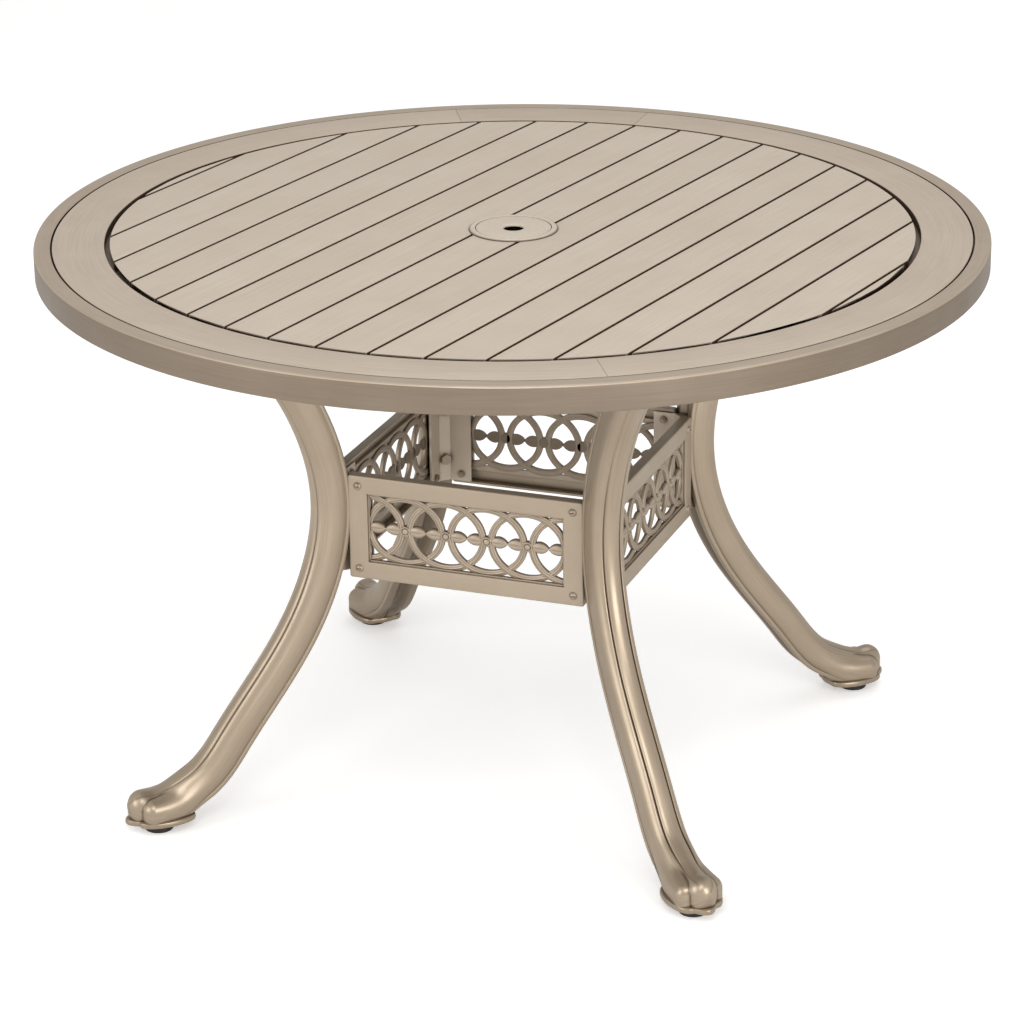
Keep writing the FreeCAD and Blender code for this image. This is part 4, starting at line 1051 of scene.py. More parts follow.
@dataclass
class Lattice:
    """The cast lattice of one panel: interlaced oval bands, buds, flowers and a plain border."""

    finishes: Finishes
    front: float = 187 * MM
    depth: float = 5 * MM
    width: float = 277 * MM
    height: float = 103.4 * MM
    middle: float = 381.5 * MM
    border: float = 7 * MM
    pitch: float = 55.6 * MM
    reach: int = 3
    loop_half_width: float = 50 * MM
    loop_half_height: float = 43.5 * MM
    loop_steps: int = 112
    band: float = 9 * MM
    weave: float = 0.7 * MM
    bud_half_height: float = 8 * MM
    bud_steps: int = 25
    boss_radius: float = 7 * MM
    boss_steps: int = 36

    def build(self, side: str, turn: float) -> None:
        """Builds the lattice of one side.

        Args:
            side: the side's name.
            turn: its turn in degrees about the table's axis.
        """
        skin = Skin()
        for index in range(-self.reach, self.reach):
            place = self.pitch * (index + 0.5)
            self.add_loop(skin, place, 0.08 * MM * (index % 3))
            for way in (-1, 1):
                self.add_bud(skin, place, way)
            self.add_flower(skin, place)
        name = "grille_" + side
        piece = skin.build(name + "_dressed", 0.0, smooth_limit=math.radians(50))
        self.trim(piece)
        self.add_border(piece)
        piece.data.transform(Matrix.Rotation(math.radians(turn), 4, "Z"))
        fit_piece(piece, "frame", [name], self.finishes, Finish.LATTICE)

    def add_loop(self, skin: Skin, place: float, raised: float) -> None:
        """Adds one oval band with a mid ridge that weaves over and under its neighbours.

        Args:
            skin: where the faces go.
            place: its middle along the panel.
            raised: how far its back stands proud of the lattice's back plane.
        """
        # Half of the band's section: share of its half width, height in mm, and share of brown,
        # painted shade in its hollows along with glaze.
        left = np.array([
            (-0.72, -3.0, 0.3), (-1.0, -2.1, 0.45), (-1.0, 1.3, 0.3), (-0.86, 2.1, 0.12),
            (-0.62, 2.55, 0.1), (-0.36, 2.45, 0.5), (-0.24, 2.75, 0.25), (-0.1, 3.35, 0.0),
        ]) * (self.band / 2, MM, 1)
        section = np.vstack([left, left[::-1] * (-1, 1, 1)])
        rows = []
        for angle in np.linspace(0, FULL_TURN, self.loop_steps, endpoint=False):
            c, s = math.cos(angle), math.sin(angle)
            spot = np.array((self.loop_half_width * c, self.loop_half_height * s))
            out = np.array((self.loop_half_height * c, self.loop_half_width * s))
            flat = spot + out / np.linalg.norm(out) * section[:, :1]
            lift = self.weave * math.sin(2 * angle)
            height = section[:, 1] + np.where(section[:, 1] > 0, lift, raised)
            back = self.front - self.depth + 0.4 * MM + height
            rows.append(np.stack([flat[:, 0] + place, -back, flat[:, 1] + self.middle], axis=1))
        grid = np.stack(rows)
        glaze_and_shade_share = np.broadcast_to(section[:, 2], grid.shape[:2])
        along, across = path_length(grid[:, 7], True), path_length(section[:, :2], True)
        skin.add_grid(grid, along, across, ring=True, glaze_and_shade_share=glaze_and_shade_share)

    def add_bud(self, skin: Skin, place: float, way: int) -> None:
        """Adds one bud that runs from a flower's middle to the tip where it meets the next.

        Args:
            skin: where the faces go.
            place: the flower's middle along the panel.
            way: 1 or -1, the way that the bud points.
        """
        start, tip = 2.0 * MM, self.pitch / 2 + 0.4 * MM
        base, spread = self.front - self.depth + 0.4 * MM, np.linspace(-1, 1, 17)
        floor_y = 2.6 * MM - base
        shares = np.linspace(0, 1, self.bud_steps)
        rows, glaze_shade_values = [], []
        for share in shares:
            swell = math.sin(math.pi * min(1.0, share * 1.02) ** 1.1) ** 0.75
            taper = 1.0 if share < 0.9 else 1 - (share - 0.9) * 3
            half = self.bud_half_height * (0.16 + 0.84 * swell) * taper
            crease = 0.16 * np.exp(-((spread / 0.16) ** 2)) * swell
            dome = np.sqrt(np.maximum(0.0, 1 - spread**2)) * (1 - crease)
            x = place + way * (start + (tip - start) * share)
            y = -(base + (1.7 + 2.1 * swell) * MM * dome)
            top = np.stack([np.full(len(spread), x), y, self.middle + half * spread], axis=1)
            floor = [(x, floor_y, self.middle + half), (x, floor_y, self.middle - half)]
            rows.append(np.vstack([top, floor]))
            # Darker at the bud's edges, along its mid crease and on its floor: painted shade along
            # with the glaze.
            edge = 0.5 * np.abs(spread) ** 3 + 0.45 * np.exp(-((spread / 0.14) ** 2)) * swell
            glaze_shade_values.append(np.concatenate([edge, [0.6, 0.6]]))
        around = path_length(rows[self.bud_steps // 2], True)
        skin.add_grid(np.stack(rows), shares * (tip - start), around, ends=True, glaze_and_shade_share=np.stack(glaze_shade_values))

    def add_flower(self, skin: Skin, place: float) -> None:
        """Adds a flower's middle: a raised ring round a small dome.

        Args:
            skin: where the faces go.
            place: its middle along the panel.
        """
        # Radius and height in mm, and share of brown: painted shade in the hollows along with the
        # glaze.
        profile = np.array([
            (7.0, -2.8, 0.6), (7.0, 3.0, 0.5), (6.5, 3.9, 0.1), (5.7, 4.25, 0.0),
            (5.0, 4.0, 0.3), (4.5, 3.5, 0.7), (4.1, 3.4, 0.7), (3.8, 3.9, 0.3),
            (3.0, 4.5, 0.05), (1.8, 4.75, 0.0), (0.6, 4.8, 0.0),
        ])
        base = self.front - self.depth + 0.2 * MM
        outline = profile[:, :2] * (MM, -MM) - (0, base)
        angles = np.linspace(0, FULL_TURN, self.boss_steps, endpoint=False)
        rows = turned_rows(outline, angles, (place, self.middle)).transpose(1, 0, 2)
        glaze_and_shade_share = np.repeat(profile[:, 2:], self.boss_steps, axis=1)
        across = np.linspace(0, FULL_TURN * self.boss_radius, self.boss_steps + 1)
        skin.add_grid(rows[..., [0, 2, 1]], path_length(outline), across, ends=True, glaze_and_shade_share=glaze_and_shade_share)

    def trim(self, piece: Piece) -> None:
        """Cuts off what runs past the lattice's outer edges.

        Args:
            piece: the lattice before its border is added.
        """
        work = bmesh.new()
        work.from_mesh(piece.data)
        for axis, middle, half in ((0, 0.0, self.width / 2), (2, self.middle, self.height / 2)):
            for way in (1, -1):
                place, normal = Vector(), Vector()
                place[axis], normal[axis] = middle + way * half, way
                found = bmesh.ops.bisect_plane(
                    work,
                    geom=work.verts[:] + work.edges[:] + work.faces[:],
                    plane_co=place,
                    plane_no=normal,
                    clear_outer=True,
                )
                edges = [item for item in found["geom_cut"] if isinstance(item, bmesh.types.BMEdge)]
                bmesh.ops.holes_fill(work, edges=edges, sides=0)
        work.to_mesh(piece.data)
        work.free()

    def add_border(self, piece: Piece) -> None:
        """Joins the plain border strip that sits behind the window's edge.

        Args:
            piece: the trimmed lattice.
        """
        ease, base, face = 0.7 * MM, self.depth - self.front, -self.front
        width, mid = self.border, self.middle
        levels = [(0.0, base), (0.0, face), (width - ease, face)]
        levels += [(width - 0.3 * ease, face + 0.3 * ease), (width, face + ease), (width, base)]
        rows = []
        for inset, y in levels:
            w, h = self.width / 2 - inset, self.height / 2 - inset
            flat = rectangle((-w, mid - h), (w, mid + h), y)
            rows.append(np.array(flat)[:, [0, 2, 1]])
        skin = Skin()
        grid, across = np.stack(rows).transpose(1, 0, 2), path_length(np.array(levels), True)
        skin.add_grid(grid, path_length(rows[0], True), across, ring=True)
        border = skin.build("lattice_border")
        work = bmesh.new()
        work.from_mesh(piece.data)
        work.from_mesh(border.data)
        work.to_mesh(piece.data)
        work.free()
        bpy.data.objects.remove(border)


# The legs


@dataclass
class CurvedLeg:
    """One cast leg: beaded run, paw foot, pad under the rail and rib for the corner bracket."""

    finishes: Finishes
    width: float = 45 * MM
    depth: float = 46 * MM
    pad_low: float = 698 * MM
    pad_high: float = 706 * MM
    pad_middle: float = 418 * MM
    pad_length: float = 146 * MM
    pad_width: float = 60 * MM
    pad_ease: float = 2.4 * MM
    rib_face: float = 239.7 * MM
    rib_end: float = 262 * MM
    rib_width: float = 15 * MM
    rib_low: float = 315 * MM
    rib_high: float = 448 * MM
    rib_ease: float = 1.5 * MM
    foot: float = 515 * MM
    sole_low: float = 13.8 * MM
    sole_thick: float = 8 * MM
    sole_length: float = 90 * MM
    sole_width: float = 70 * MM
    sole_edge: float = 2.4 * MM
    sole_steps: int = 96
    # The sole plate is drawn a little darker all over.
    sole_darkening: float = 0.18
    boss_radius: float = 21 * MM
    boss_low: float = 10.8 * MM
    boss_ease: float = 0.8 * MM
    # Soft creases between the run and the toes, and between one toe and the next.
    run_blend: float = 10.0 * MM
    toe_blend: float = 2.4 * MM
    # The grooves are shallow at the top and full from this share of the run on.
    groove_start: float = 0.22
    groove_span: float = 0.3
    groove_least: float = 0.4
    # The run swells a little toward the ankle, and its own section fades out in the foot.
    swell: float = 0.05
    swell_start: float = 0.78
    swell_span: float = 0.12
    fade_start: float = 459 * MM
    fade_span: float = 66 * MM
    # Where toes can meet the run at all: out from the axis, and below this height.
    toe_start: float = 440 * MM
    toe_top: float = 150 * MM
    # Toes are found along rays of this reach and step.
    ray_reach: float = 48 * MM
    ray_step: float = 0.5 * MM
    wall_top: float = 48 * MM
    wall_most: float = 10 * MM
    # Brown in the creases where toes meet is painted shade along with the glaze; the toes are drawn
    # a little darker all over.
    crease_width: float = 1.5 * MM
    crease_glaze_and_shade: float = 0.75
    toe_darkening: float = 0.03

    def spline(self, steps: Array, spots: Array, run: Array) -> tuple[Array, Array]:
        """Natural cubic through spots.

        Args:
            steps: how far along each spot lies.
            spots: one row each.
            run: how far along the wanted places lie.

        Returns:
            Places and slopes.
        """
        count = len(steps)
        matrix, right = np.eye(count), np.zeros(spots.shape)
        for k in range(1, count - 1):
            before, after = steps[k] - steps[k - 1], steps[k + 1] - steps[k]
            matrix[k, k - 1 : k + 2] = before / 6, (before + after) / 3, after / 6
            right[k] = (spots[k + 1] - spots[k]) / after - (spots[k] - spots[k - 1]) / before
        second = np.linalg.solve(matrix, right)
        k = np.clip(np.searchsorted(steps, run, side="right") - 1, 0, count - 2)
        gap = (steps[k + 1] - steps[k])[:, None]
        b = (run - steps[k])[:, None] / gap
        a = 1 - b
        bend = ((a**3 - a) * second[k] + (b**3 - b) * second[k + 1]) * gap**2 / 6
        turn = ((1 - 3 * a**2) * second[k] + (3 * b**2 - 1) * second[k + 1]) * gap / 6
        return a * spots[k] + b * spots[k + 1] + bend, (spots[k + 1] - spots[k]) / gap + turn

    def line(self) -> tuple[Array, Array]:
        """Centre line of the run in its radial plane.

        Returns:
            Points and unit tangents, radius and height in metres, from the pad to the toe's tip.
        """
        spots = [(404, 702), (306, 560), (266, 410), (315, 245), (411, 112), (452, 64), (515, 37)]
        places = np.array(spots) * MM
        steps = path_length(places)
        # Closer steps over the last two stretches, where the foot begins.
        upper = np.linspace(0, steps[4], 150, endpoint=False)
        run = np.concatenate([upper, np.linspace(steps[4], steps[6], 70)])
        curve, slopes = self.spline(steps, places, run)
        last, slope = curve[-1], slopes[-1]
        ball = self.toes[0][-1]
        tip = np.array((ball[0] + ball[3] - 0.3 * MM, ball[2] - 1.5 * MM))
        span = tip[0] - last[0]
        share = np.sin(np.linspace(0, QUARTER_TURN, 60))[1:]
        height = last[1] + (tip[1] - last[1]) * share * share * (3 - 2 * share)
        height += slope[1] / slope[0] * span * share * (1 - share) ** 2
        points = np.vstack([curve, np.column_stack([last[0] + span * share, height])])
        tangents = np.gradient(points, axis=0)
        return points, tangents / np.linalg.norm(tangents, axis=1, keepdims=True)

    def section(self) -> tuple[Array, Array]:
        """Unit section of the run: centre bead, thin grooves, round flanks and a lip at the back.

        Returns:
            Points across and out with a third column for the outward place where the groove is
            filled, and a share of brown for each: painted shade in the grooves and the back's
                hollow, with glaze.
        """
        half = [
            (0.0, 1.0, 1.0, 0.0), (0.16, 0.985, 0.985, 0.0), (0.28, 0.955, 0.955, 0.0),
            (0.38, 0.91, 0.915, 0.0), (0.44, 0.86, 0.885, 0.1), (0.475, 0.80, 0.868, 0.6),
            (0.50, 0.765, 0.855, 1.0), (0.525, 0.795, 0.84, 0.6), (0.565, 0.835, 0.82, 0.05),
            (0.63, 0.825, 0.785, 0.0), (0.72, 0.765, 0.72, 0.0), (0.82, 0.655, 0.62, 0.0),
            (0.90, 0.52, 0.50, 0.0), (0.955, 0.37, 0.36, 0.0), (0.99, 0.15, 0.15, 0.0),
            (1.0, -0.10, -0.10, 0.0), (0.985, -0.40, -0.40, 0.05), (0.955, -0.62, -0.62, 0.15),
            (0.935, -0.70, -0.70, 0.5), (0.95, -0.735, -0.735, 0.45), (0.985, -0.755, -0.755, 0.1),
            (0.995, -0.80, -0.80, 0.0), (0.985, -0.93, -0.93, 0.1), (0.93, -0.995, -0.995, 0.2),
            (0.78, -1.0, -1.0, 0.3), (0.62, -1.0, -1.0, 0.3), (0.50, -0.98, -0.98, 0.4),
            (0.38, -0.90, -0.90, 0.5), (0.22, -0.78, -0.78, 0.6), (0.10, -0.72, -0.72, 0.65),
        ]
        right = np.array(half)
        left = right[1:][::-1] * (-1, 1, 1, 1)
        ring = np.vstack([right, [(0.0, -0.71, -0.71, 0.65)], left])
        before, after, beyond = (np.roll(ring, step, axis=0) for step in (1, -1, -2))
        midway = (9 * (ring + after) - before - beyond) / 16
        made = np.stack([ring, midway], axis=1).reshape(-1, 4)
        return made[:, :3], np.clip(made[:, 3], 0, 1)

    @cached_property
    def toes(self) -> list[Array]:
        """Balls strung along the toes and the heel: radius place, side, height and half width.

        Returns:
            The middle toe, the two beside it and the heel, one ball per row.
        """
        middle = [(448, 0, 64, 11), (484, 0, 48, 15), (512, 0, 39.5, 16.5), (536.5, 0, 38.5, 19)]
        flank = [(448, 9, 62, 8), (478, 12, 42, 14.5), (502, 15.5, 36, 15.5), (527, 17.3, 34.5, 15)]
        heel = [(458, 0, 60, 13), (474, 0, 46, 14), (489.5, 0, 36, 15.5), (506, 0, 33, 20)]
        made = []
        other = [(out, -side, up, half) for out, side, up, half in flank]
        for spots in (np.array(string) * MM for string in (middle, flank, other, heel)):
            steps = path_length(spots[:, :3])
            made.append(self.spline(steps, spots, np.linspace(0, steps[-1], 44))[0])
        return made

    def depth_under(self, spots: Array, balls: Array) -> Array:
        """How far places lie from the skin of a string of balls, below zero inside it.

        The low balls have upright walls under their widest line, which stand on the sole.

        Args:
            spots: places, in metres.
            balls: one row each: radius place, side, height and half width.

        Returns:
            One distance per place.
        """
        depth = np.full(spots.shape[:-1], 1.0)
        for ball in balls:
            offset = spots - ball[:3]
            drop = min(self.wall_most, max(0.0, self.wall_top - ball[2]))
            offset[..., 2] = np.maximum(offset[..., 2], 0) + np.minimum(offset[..., 2] + drop, 0)
            depth = np.minimum(depth, np.linalg.norm(offset, axis=-1) - ball[3])
        return depth

    def depth_in(self, spots: Array, middle: Pair, half: Pair) -> Array:
        """How far places lie from the skin of an egg shape, below zero inside it.

        Args:
            spots: places, in metres.
            middle: the egg's middle.
            half: its half sizes.

        Returns:
            One distance per place.
        """
        offset = (spots - np.array(middle)) / half
        size = np.linalg.norm(offset, axis=-1)
        return size * (size - 1) / np.maximum(np.linalg.norm(offset / half, axis=-1), 1e-6)

    def soft_min(self, a: Array, b: Array, blend: float) -> Array:
        """The smaller of two distances, with a soft crease where they are alike."""
        near = np.maximum(blend - np.abs(a - b), 0) / blend
        return np.minimum(a, b) - near * near * blend * 0.25

    def join_toes(
        self, start: Array, ways: Array, distance: Array, glaze_and_shade_share: Array
    ) -> tuple[Array, Array]:
        """Lets one ring of the run swell into the toes.

        Args:
            start: the ring's middle.
            ways: unit directions from it.
            distance: how far the run's own skin lies along each.
            glaze_and_shade_share: brown on the run's own skin, painted shade along with glaze.

        Returns:
            The new distances and shares of brown, painted shade along with glaze.
        """
        steps = np.arange(round(self.ray_reach / self.ray_step)) * self.ray_step
        spots = start + ways[:, None, :] * steps[None, :, None]
        first, second, third, heel = (self.depth_under(spots, balls) for balls in self.toes)
        toes = self.soft_min(self.soft_min(first, second, self.toe_blend), third, self.toe_blend)
        run = steps[None, :] - distance[:, None]
        skin = self.soft_min(self.soft_min(run, heel, self.run_blend), toes, self.run_blend)
        at = np.maximum(np.argmax(skin > 0, axis=1), 1)
        row = np.arange(len(ways))
        inner, outer = skin[row, at - 1], skin[row, at]
        share = np.clip(-inner / (outer - inner), 0, 1)
        found = steps[at - 1] + (steps[at] - steps[at - 1]) * share
        ranked = np.sort(np.stack([first[row, at], second[row, at], third[row, at]]), axis=0)
        # Brown where two toes meet: painted shade in the creases along with the glaze.
        crease = np.exp(-(((ranked[1] - ranked[0]) / self.crease_width) ** 2))
        share = np.clip((run[row, at] - toes[row, at]) / (5 * MM) + 0.5, 0, 1)
        toe_crease_shade = self.toe_darkening + self.crease_glaze_and_shade * crease
        return found, glaze_and_shade_share * (1 - 0.5 * share) + share * toe_crease_shade

    @cached_property
    def run_grid(self) -> tuple[Array, Array, Array]:
        """The beaded run and the toes as one skin.

        Returns:
            Rings of places, the share of brown on each place, painted shade along with glaze, and
            how far along each ring lies.
        """
        points, slopes = self.line()
        section, glaze_shade_values = self.section()
        rows, glaze_and_shade = [], []
        lengths = path_length(points)
        for spot, slope, where in zip(points, slopes, lengths / lengths[-1]):
            start = np.array((spot[0], 0.0, spot[1]))
            outward = np.array((-slope[1], 0.0, slope[0]))
            late = min(1.0, max(0.0, (where - self.swell_start) / self.swell_span))
            past = min(1.0, max(0.0, (spot[0] - self.fade_start) / self.fade_span))
            depth = min(1.0, max(0.0, (where - self.groove_start) / self.groove_span))
            swell, least = 1 + self.swell * late, self.groove_least
            groove = least + (1 - least) * depth
            out = section[:, 2] + (section[:, 1] - section[:, 2]) * groove
            side = section[:, :1] * self.width / 2 * swell * np.array((0.0, 1.0, 0.0))
            offsets = side + outward * (out * self.depth / 2)[:, None]
            distance = np.linalg.norm(offsets, axis=1)
            ways = offsets / distance[:, None]
            distance = distance * math.sqrt(max(0.0, 1 - past**2))
            # Brown in the grooves and the back's hollow, less where the grooves are shallow:
            # painted shade along with glaze.
            glaze_and_shade_share = glaze_shade_values * groove**2
            if spot[0] > self.toe_start and spot[1] < self.toe_top:
                distance, glaze_and_shade_share = self.join_toes(start, ways, distance, glaze_and_shade_share)
            rows.append(start + ways * distance[:, None])
            glaze_and_shade.append(np.clip(glaze_and_shade_share, 0, 1))
        grid = np.stack(rows)
        low, high = self.sole_low + 0.3 * MM, self.pad_high - 0.5 * MM
        grid[:, :, 2] = np.clip(grid[:, :, 2], low, high)
        return grid, np.stack(glaze_and_shade), lengths

    def add_sole(self, skin: Skin) -> None:
        """Adds the sole plate with its rounded edge, and the boss that the glide meets.

        Args:
            skin: where the faces go.
        """
        edge, low, high = self.sole_edge, self.sole_low, self.sole_low + self.sole_thick
        levels = [(0.0, edge), (edge * 0.3, edge * 0.3), (edge, 0.0)]
        heights = [(low + up, inset) for up, inset in levels]
        heights += [(high - up, inset) for up, inset in reversed(levels)]
        count = self.sole_steps
        angles = np.linspace(0, FULL_TURN, count, endpoint=False)
        ways = np.stack([np.cos(angles), np.sin(angles)], axis=1)
        steps = np.arange(10.0, 60.0, 0.25) * MM
        spots = ways[:, None, :] * steps[None, :, None]
        length, width = self.sole_length / 2, self.sole_width / 2
        forms = [((4 * MM, 0.0), (length - 4 * MM, 20 * MM))]
        forms += [((-10 * MM, 0.0), (36 * MM, width - 1 * MM))]
        forms += [((-6 * MM, way * (width - 17 * MM)), (38 * MM, 17 * MM)) for way in (-1, 1)]
        edge_in = np.full(spots.shape[:2], 1.0)
        for middle, half in forms:
            edge_in = self.soft_min(edge_in, self.depth_in(spots, middle, half), 2 * MM)
        reach = steps[np.argmax(edge_in > 0, axis=1)]
        reach = (reach + np.roll(reach, 1) + np.roll(reach, -1)) / 3
        rows = []
        for height, inset in heights:
            ring = ways * (reach - inset)[:, None] + (self.foot, 0.0)
            rows.append(np.column_stack([ring, np.full(count, height)]))
        across = np.linspace(0, math.pi * self.sole_length, count + 1)
        along = [height for height, _ in heights]
        skin.add_grid(np.stack(rows), along, across, ends=True, glaze_and_shade_share=self.sole_darkening)
        radius, ease = self.boss_radius, self.boss_ease
        profile = [(radius - ease, self.boss_low), (radius, self.boss_low + ease)]
        add_lathe_solid(skin, profile + [(radius, low + 1 * MM)], 64, (self.foot, 0.0))

    def build(self, corner: str, turn: float) -> None:
        """Builds the leg of one corner.

        Args:
            corner: the corner's name.
            turn: its turn in degrees about the table's axis.
        """
        skin = Skin()
        grid, glaze_and_shade, lengths = self.run_grid
        skin.add_grid(grid, lengths, path_length(grid[60], True), ends=True, glaze_and_shade_share=glaze_and_shade)
        self.add_sole(skin)
        near, far = self.pad_middle - self.pad_length / 2, self.pad_middle + self.pad_length / 2
        pad, rib = self.pad_width / 2, self.rib_width / 2
        add_block(skin, (near, -pad, self.pad_low), (far, pad, self.pad_high), self.pad_ease)
        low, high = (self.rib_face, -rib, self.rib_low), (self.rib_end, rib, self.rib_high)
        add_block(skin, low, high, self.rib_ease)
        name = "leg_" + corner
        piece = skin.build(name + "_dressed", turn)
        fit_piece(piece, "frame", [name], self.finishes, Finish.LEG)


# The levelling glides


@dataclass
class LevellingGlide:
    """Threaded steel stem with a button, and the rubber pad that turns on it."""

    finishes: Finishes
    foot: float = 515 * MM
    pad_radius: float = 18.75 * MM
    pad_height: float = 10.5 * MM
    pad_bore: float = 0.4 * MM
    play: float = 0.05 * MM
    stem_radius: float = 4 * MM
    thread_depth: float = 0.6 * MM
    thread_pitch: float = 1.25 * MM
    button_radius: float = 8 * MM
    button_low: float = 3 * MM
    button_high: float = 6 * MM
    button_ease: float = 0.4 * MM
    stem_top: float = 30 * MM

    def build(self, corner: str, turn: float) -> None:
        """Builds the stem and pad of one corner.

        Args:
            corner: the corner's name.
            turn: its turn in degrees about the table's axis.
        """
        angle = math.radians(turn)
        centre = (self.foot * math.cos(angle), self.foot * math.sin(angle))
        skin = Skin()
        add_lathe_solid(skin, self.stem_profile(), 40, centre)
        node = "glide_stem_" + corner
        piece = skin.build(node + "_dressed")
        fit_piece(piece, "stem_" + corner, [node], self.finishes, Finish.STEEL)
        skin = Skin()
        add_turned(skin, self.pad_outline(), 72, centre)
        node = "glide_pad_" + corner
        piece = skin.build(node + "_dressed")
        fit_piece(piece, "pad_" + corner, [node], self.finishes, Finish.RUBBER)

    def pad_outline(self) -> Array:
        """Half section of the pad round the stem's button.

        Returns:
            Radius and height of each point.
        """
        r, h, middle = self.pad_radius, self.pad_height, self.pad_bore
        bore, button = self.stem_radius + self.play, self.button_radius + self.play
        low, high = self.button_low - self.play, self.button_high + self.play
        corners = [
            (middle, 0.0, 0),
            (r - 0.6 * MM, 0.0, 1.2 * MM),
            (r, 2.2 * MM, 0.8 * MM),
            (r, 4.2 * MM, 0.3 * MM),
            (r - 0.5 * MM, 4.6 * MM, 0.3 * MM),
            (r - 0.7 * MM, h - 1.4 * MM, 0.8 * MM),
            (r - 2.3 * MM, h, 1.2 * MM),
            (bore, h, 0.3 * MM),
            (bore, high, 0),
            (button, high, 0),
            (button, low, 0),
            (middle, low, 0),
        ]
        return rounded_outline(corners, 4)

    def stem_profile(self) -> list[Pair]:
        """Radius and height up the button and the thread's crests and roots.

        Returns:
            Points from the button's underside to the stem's end.
        """
        stem, button, ease = self.stem_radius, self.button_radius, self.button_ease
        low, high, root = self.button_low, self.button_high, stem - self.thread_depth
        profile = [(button - ease, low), (button, low + ease), (button, high - ease)]
        profile += [(button - ease, high), (stem, high), (stem, high + 1.5 * MM)]
        height = high + 2.0 * MM
        while height < self.stem_top - 1.6 * MM:
            profile += [(root, height), (stem, height + self.thread_pitch / 2)]
            height += self.thread_pitch
        return profile + [(root, self.stem_top - 0.6 * MM), (root - 0.6 * MM, self.stem_top)]


# What stays as the solid model has it


@dataclass
class HiddenFrame:
    """Supports and fixings that keep their own solids and take a finish."""

    finishes: Finishes

    def build(self) -> None:
        """Dresses every node that nothing stands for."""
        plan: dict[Finish, list[str]] = {
            Finish.UNDER: ["support_ring", "battens", "umbrella_sleeve"],
            Finish.FRAME: [],
            Finish.FIXING: ["panel_screws", "panel_nuts", "leg_bolts", "rail_nuts"],
            Finish.STEEL: ["foot_inserts"],
        }
        for corner in CORNERS:
            plan[Finish.UNDER].append("rail_" + corner)
            plan[Finish.FRAME].append("corner_bracket_" + corner)
        for finish, names in plan.items():
            for name in names:
                self.finishes.dress(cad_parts[name], finish)
                log.info("%s: kept solid", name)


# Floor, light and camera


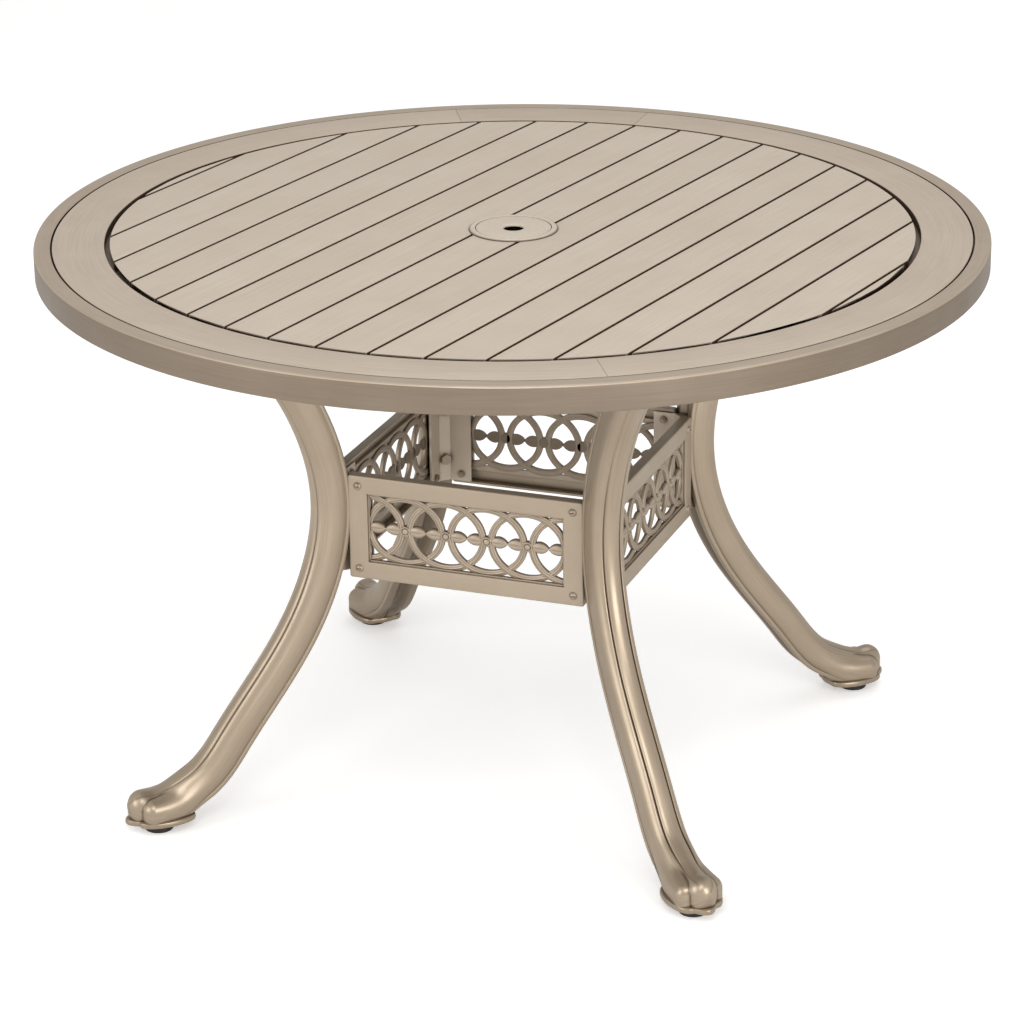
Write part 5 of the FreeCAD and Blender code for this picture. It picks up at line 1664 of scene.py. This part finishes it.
@dataclass
class Studio:
    """Pale floor, soft lamps and the camera that takes the photograph's view."""

    camera_place: Corner = (1.6477, -4.3707, 2.1697)
    yaw: float = 19.315
    pitch: float = 21.71
    roll: float = -0.215
    focal_pixels: float = 3800.0
    middle_pixels: Pair = (600.0, 540.0)
    image_pixels: float = 1024.0
    sensor_mm: float = 36.0
    floor_half: float = 12.0
    floor_lift: float = 0.34
    sky: float = 0.6
    lamp_target: Corner = (0.0, 0.0, 0.45)

    def build(self) -> None:
        """Builds the camera, the floor, the lamps and the world."""
        self.build_camera()
        self.build_floor()
        self.build_world()
        self.add_lamp("key_lamp", (-2.6, -3.6, 1.6), 2.6, 72.0)
        self.add_lamp("side_lamp", (3.5, -2.6, 1.3), 2.2, 84.0)
        self.add_lamp("high_lamp", (1.0, -3.2, 3.2), 1.8, 56.0)
        self.add_lamp("top_lamp", (0.2, 1.2, 3.8), 2.4, 24.0)

    def build_camera(self) -> None:
        """Builds the camera at the photograph's angle."""
        yaw, pitch, roll = (math.radians(v) for v in (self.yaw, self.pitch, self.roll))
        level = math.cos(pitch)
        back = Vector((math.sin(yaw) * level, -math.cos(yaw) * level, math.sin(pitch)))
        right = Vector((math.cos(yaw), math.sin(yaw), 0.0))
        up = back.cross(right)
        rolled_right = right * math.cos(roll) + up * math.sin(roll)
        rolled_up = up * math.cos(roll) - right * math.sin(roll)
        data = bpy.data.cameras.new("camera")
        data.sensor_width = self.sensor_mm
        data.lens = self.focal_pixels / self.image_pixels * self.sensor_mm
        half = self.image_pixels / 2
        data.shift_x = (half - self.middle_pixels[0]) / self.image_pixels
        data.shift_y = (self.middle_pixels[1] - half) / self.image_pixels
        camera = bpy.data.objects.new("camera", data)
        bpy.context.scene.collection.objects.link(camera)
        turn = Matrix((rolled_right, rolled_up, back)).transposed().to_4x4()
        camera.matrix_world = Matrix.Translation(self.camera_place) @ turn
        bpy.context.scene.camera = camera

    def build_floor(self) -> None:
        """Builds the floor, a matt paper that shows white and keeps the table's shadow."""
        mesh = bpy.data.meshes.new("floor")
        half = self.floor_half
        spots = [(x, y, 0) for x, y, _ in rectangle((-half, -half), (half, half), 0)]
        mesh.from_pydata(spots, [], [(0, 1, 2, 3)])
        floor = bpy.data.objects.new("floor", mesh)
        bpy.context.scene.collection.objects.link(floor)
        material, tree = new_material("floor_paper")
        place = add_node(tree, "ShaderNodeTexCoord").outputs["Object"]
        look = {"Vector": place, "Scale": 3.0}
        mottle = add_node(tree, "ShaderNodeTexNoise", look).outputs["Fac"]
        mixed = {"Factor": mottle, 6: srgb("FAFAF9"), 7: srgb("F6F6F5")}
        colour = add_node(tree, "ShaderNodeMix", mixed, data_type="RGBA").outputs[2]
        paper = add_node(tree, "ShaderNodeBsdfDiffuse", {"Color": colour}).outputs[0]
        seen = add_node(tree, "ShaderNodeLightPath").outputs["Is Camera Ray"]
        level = {0: seen, 1: self.floor_lift}
        lift = add_node(tree, "ShaderNodeMath", level, operation="MULTIPLY").outputs[0]
        glow = add_node(tree, "ShaderNodeEmission", {"Strength": lift}).outputs[0]
        both = add_node(tree, "ShaderNodeAddShader", {0: paper, 1: glow})
        add_node(tree, "ShaderNodeOutputMaterial", {"Surface": both.outputs[0]})
        mesh.materials.append(material)

    def build_world(self) -> None:
        """Builds a world that shows white and lights plainly."""
        world = bpy.data.worlds.new("studio")
        world.use_nodes = True
        tree = world.node_tree
        tree.nodes.clear()
        seen = add_node(tree, "ShaderNodeLightPath").outputs["Is Camera Ray"]
        spread = {"Value": seen, "To Min": self.sky, "To Max": 1.0}
        level = add_node(tree, "ShaderNodeMapRange", spread).outputs["Result"]
        look = {"Color": (1.0, 1.0, 1.0, 1.0), "Strength": level}
        shade = add_node(tree, "ShaderNodeBackground", look)
        add_node(tree, "ShaderNodeOutputWorld", {"Surface": shade.outputs[0]})
        bpy.context.scene.world = world

    def add_lamp(self, name: str, place: Corner, size: float, watts: float) -> None:
        """Adds one square soft lamp that points at the table's middle.

        Args:
            name: what it is called.
            place: where it stands, in metres.
            size: its side in metres.
            watts: its power.
        """
        data = bpy.data.lights.new(name, "AREA")
        data.shape = "SQUARE"
        data.size = size
        data.energy = watts
        lamp = bpy.data.objects.new(name, data)
        bpy.context.scene.collection.objects.link(lamp)
        way = Vector(place) - Vector(self.lamp_target)
        turn = way.to_track_quat("Z", "Y").to_matrix().to_4x4()
        lamp.matrix_world = Matrix.Translation(place) @ turn


def main() -> None:
    """Builds the table piece by piece and the studio round it."""
    logging.basicConfig(level=logging.INFO, format="%(message)s")
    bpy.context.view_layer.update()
    finishes = Finishes().build()
    Studio().build()
    RoundTop(finishes).build()
    UmbrellaHole(finishes).build()
    panel, lattice = ApronPanel(finishes), Lattice(finishes)
    for side, turn in SIDES.items():
        panel.build(side, turn)
        lattice.build(side, turn)
    leg, glide = CurvedLeg(finishes), LevellingGlide(finishes)
    for corner, turn in CORNERS.items():
        leg.build(corner, turn)
        glide.build(corner, turn)
    HiddenFrame(finishes).build()
    bpy.context.scene.view_settings.view_transform = "Standard"


if __name__ == "__main__":
    main()
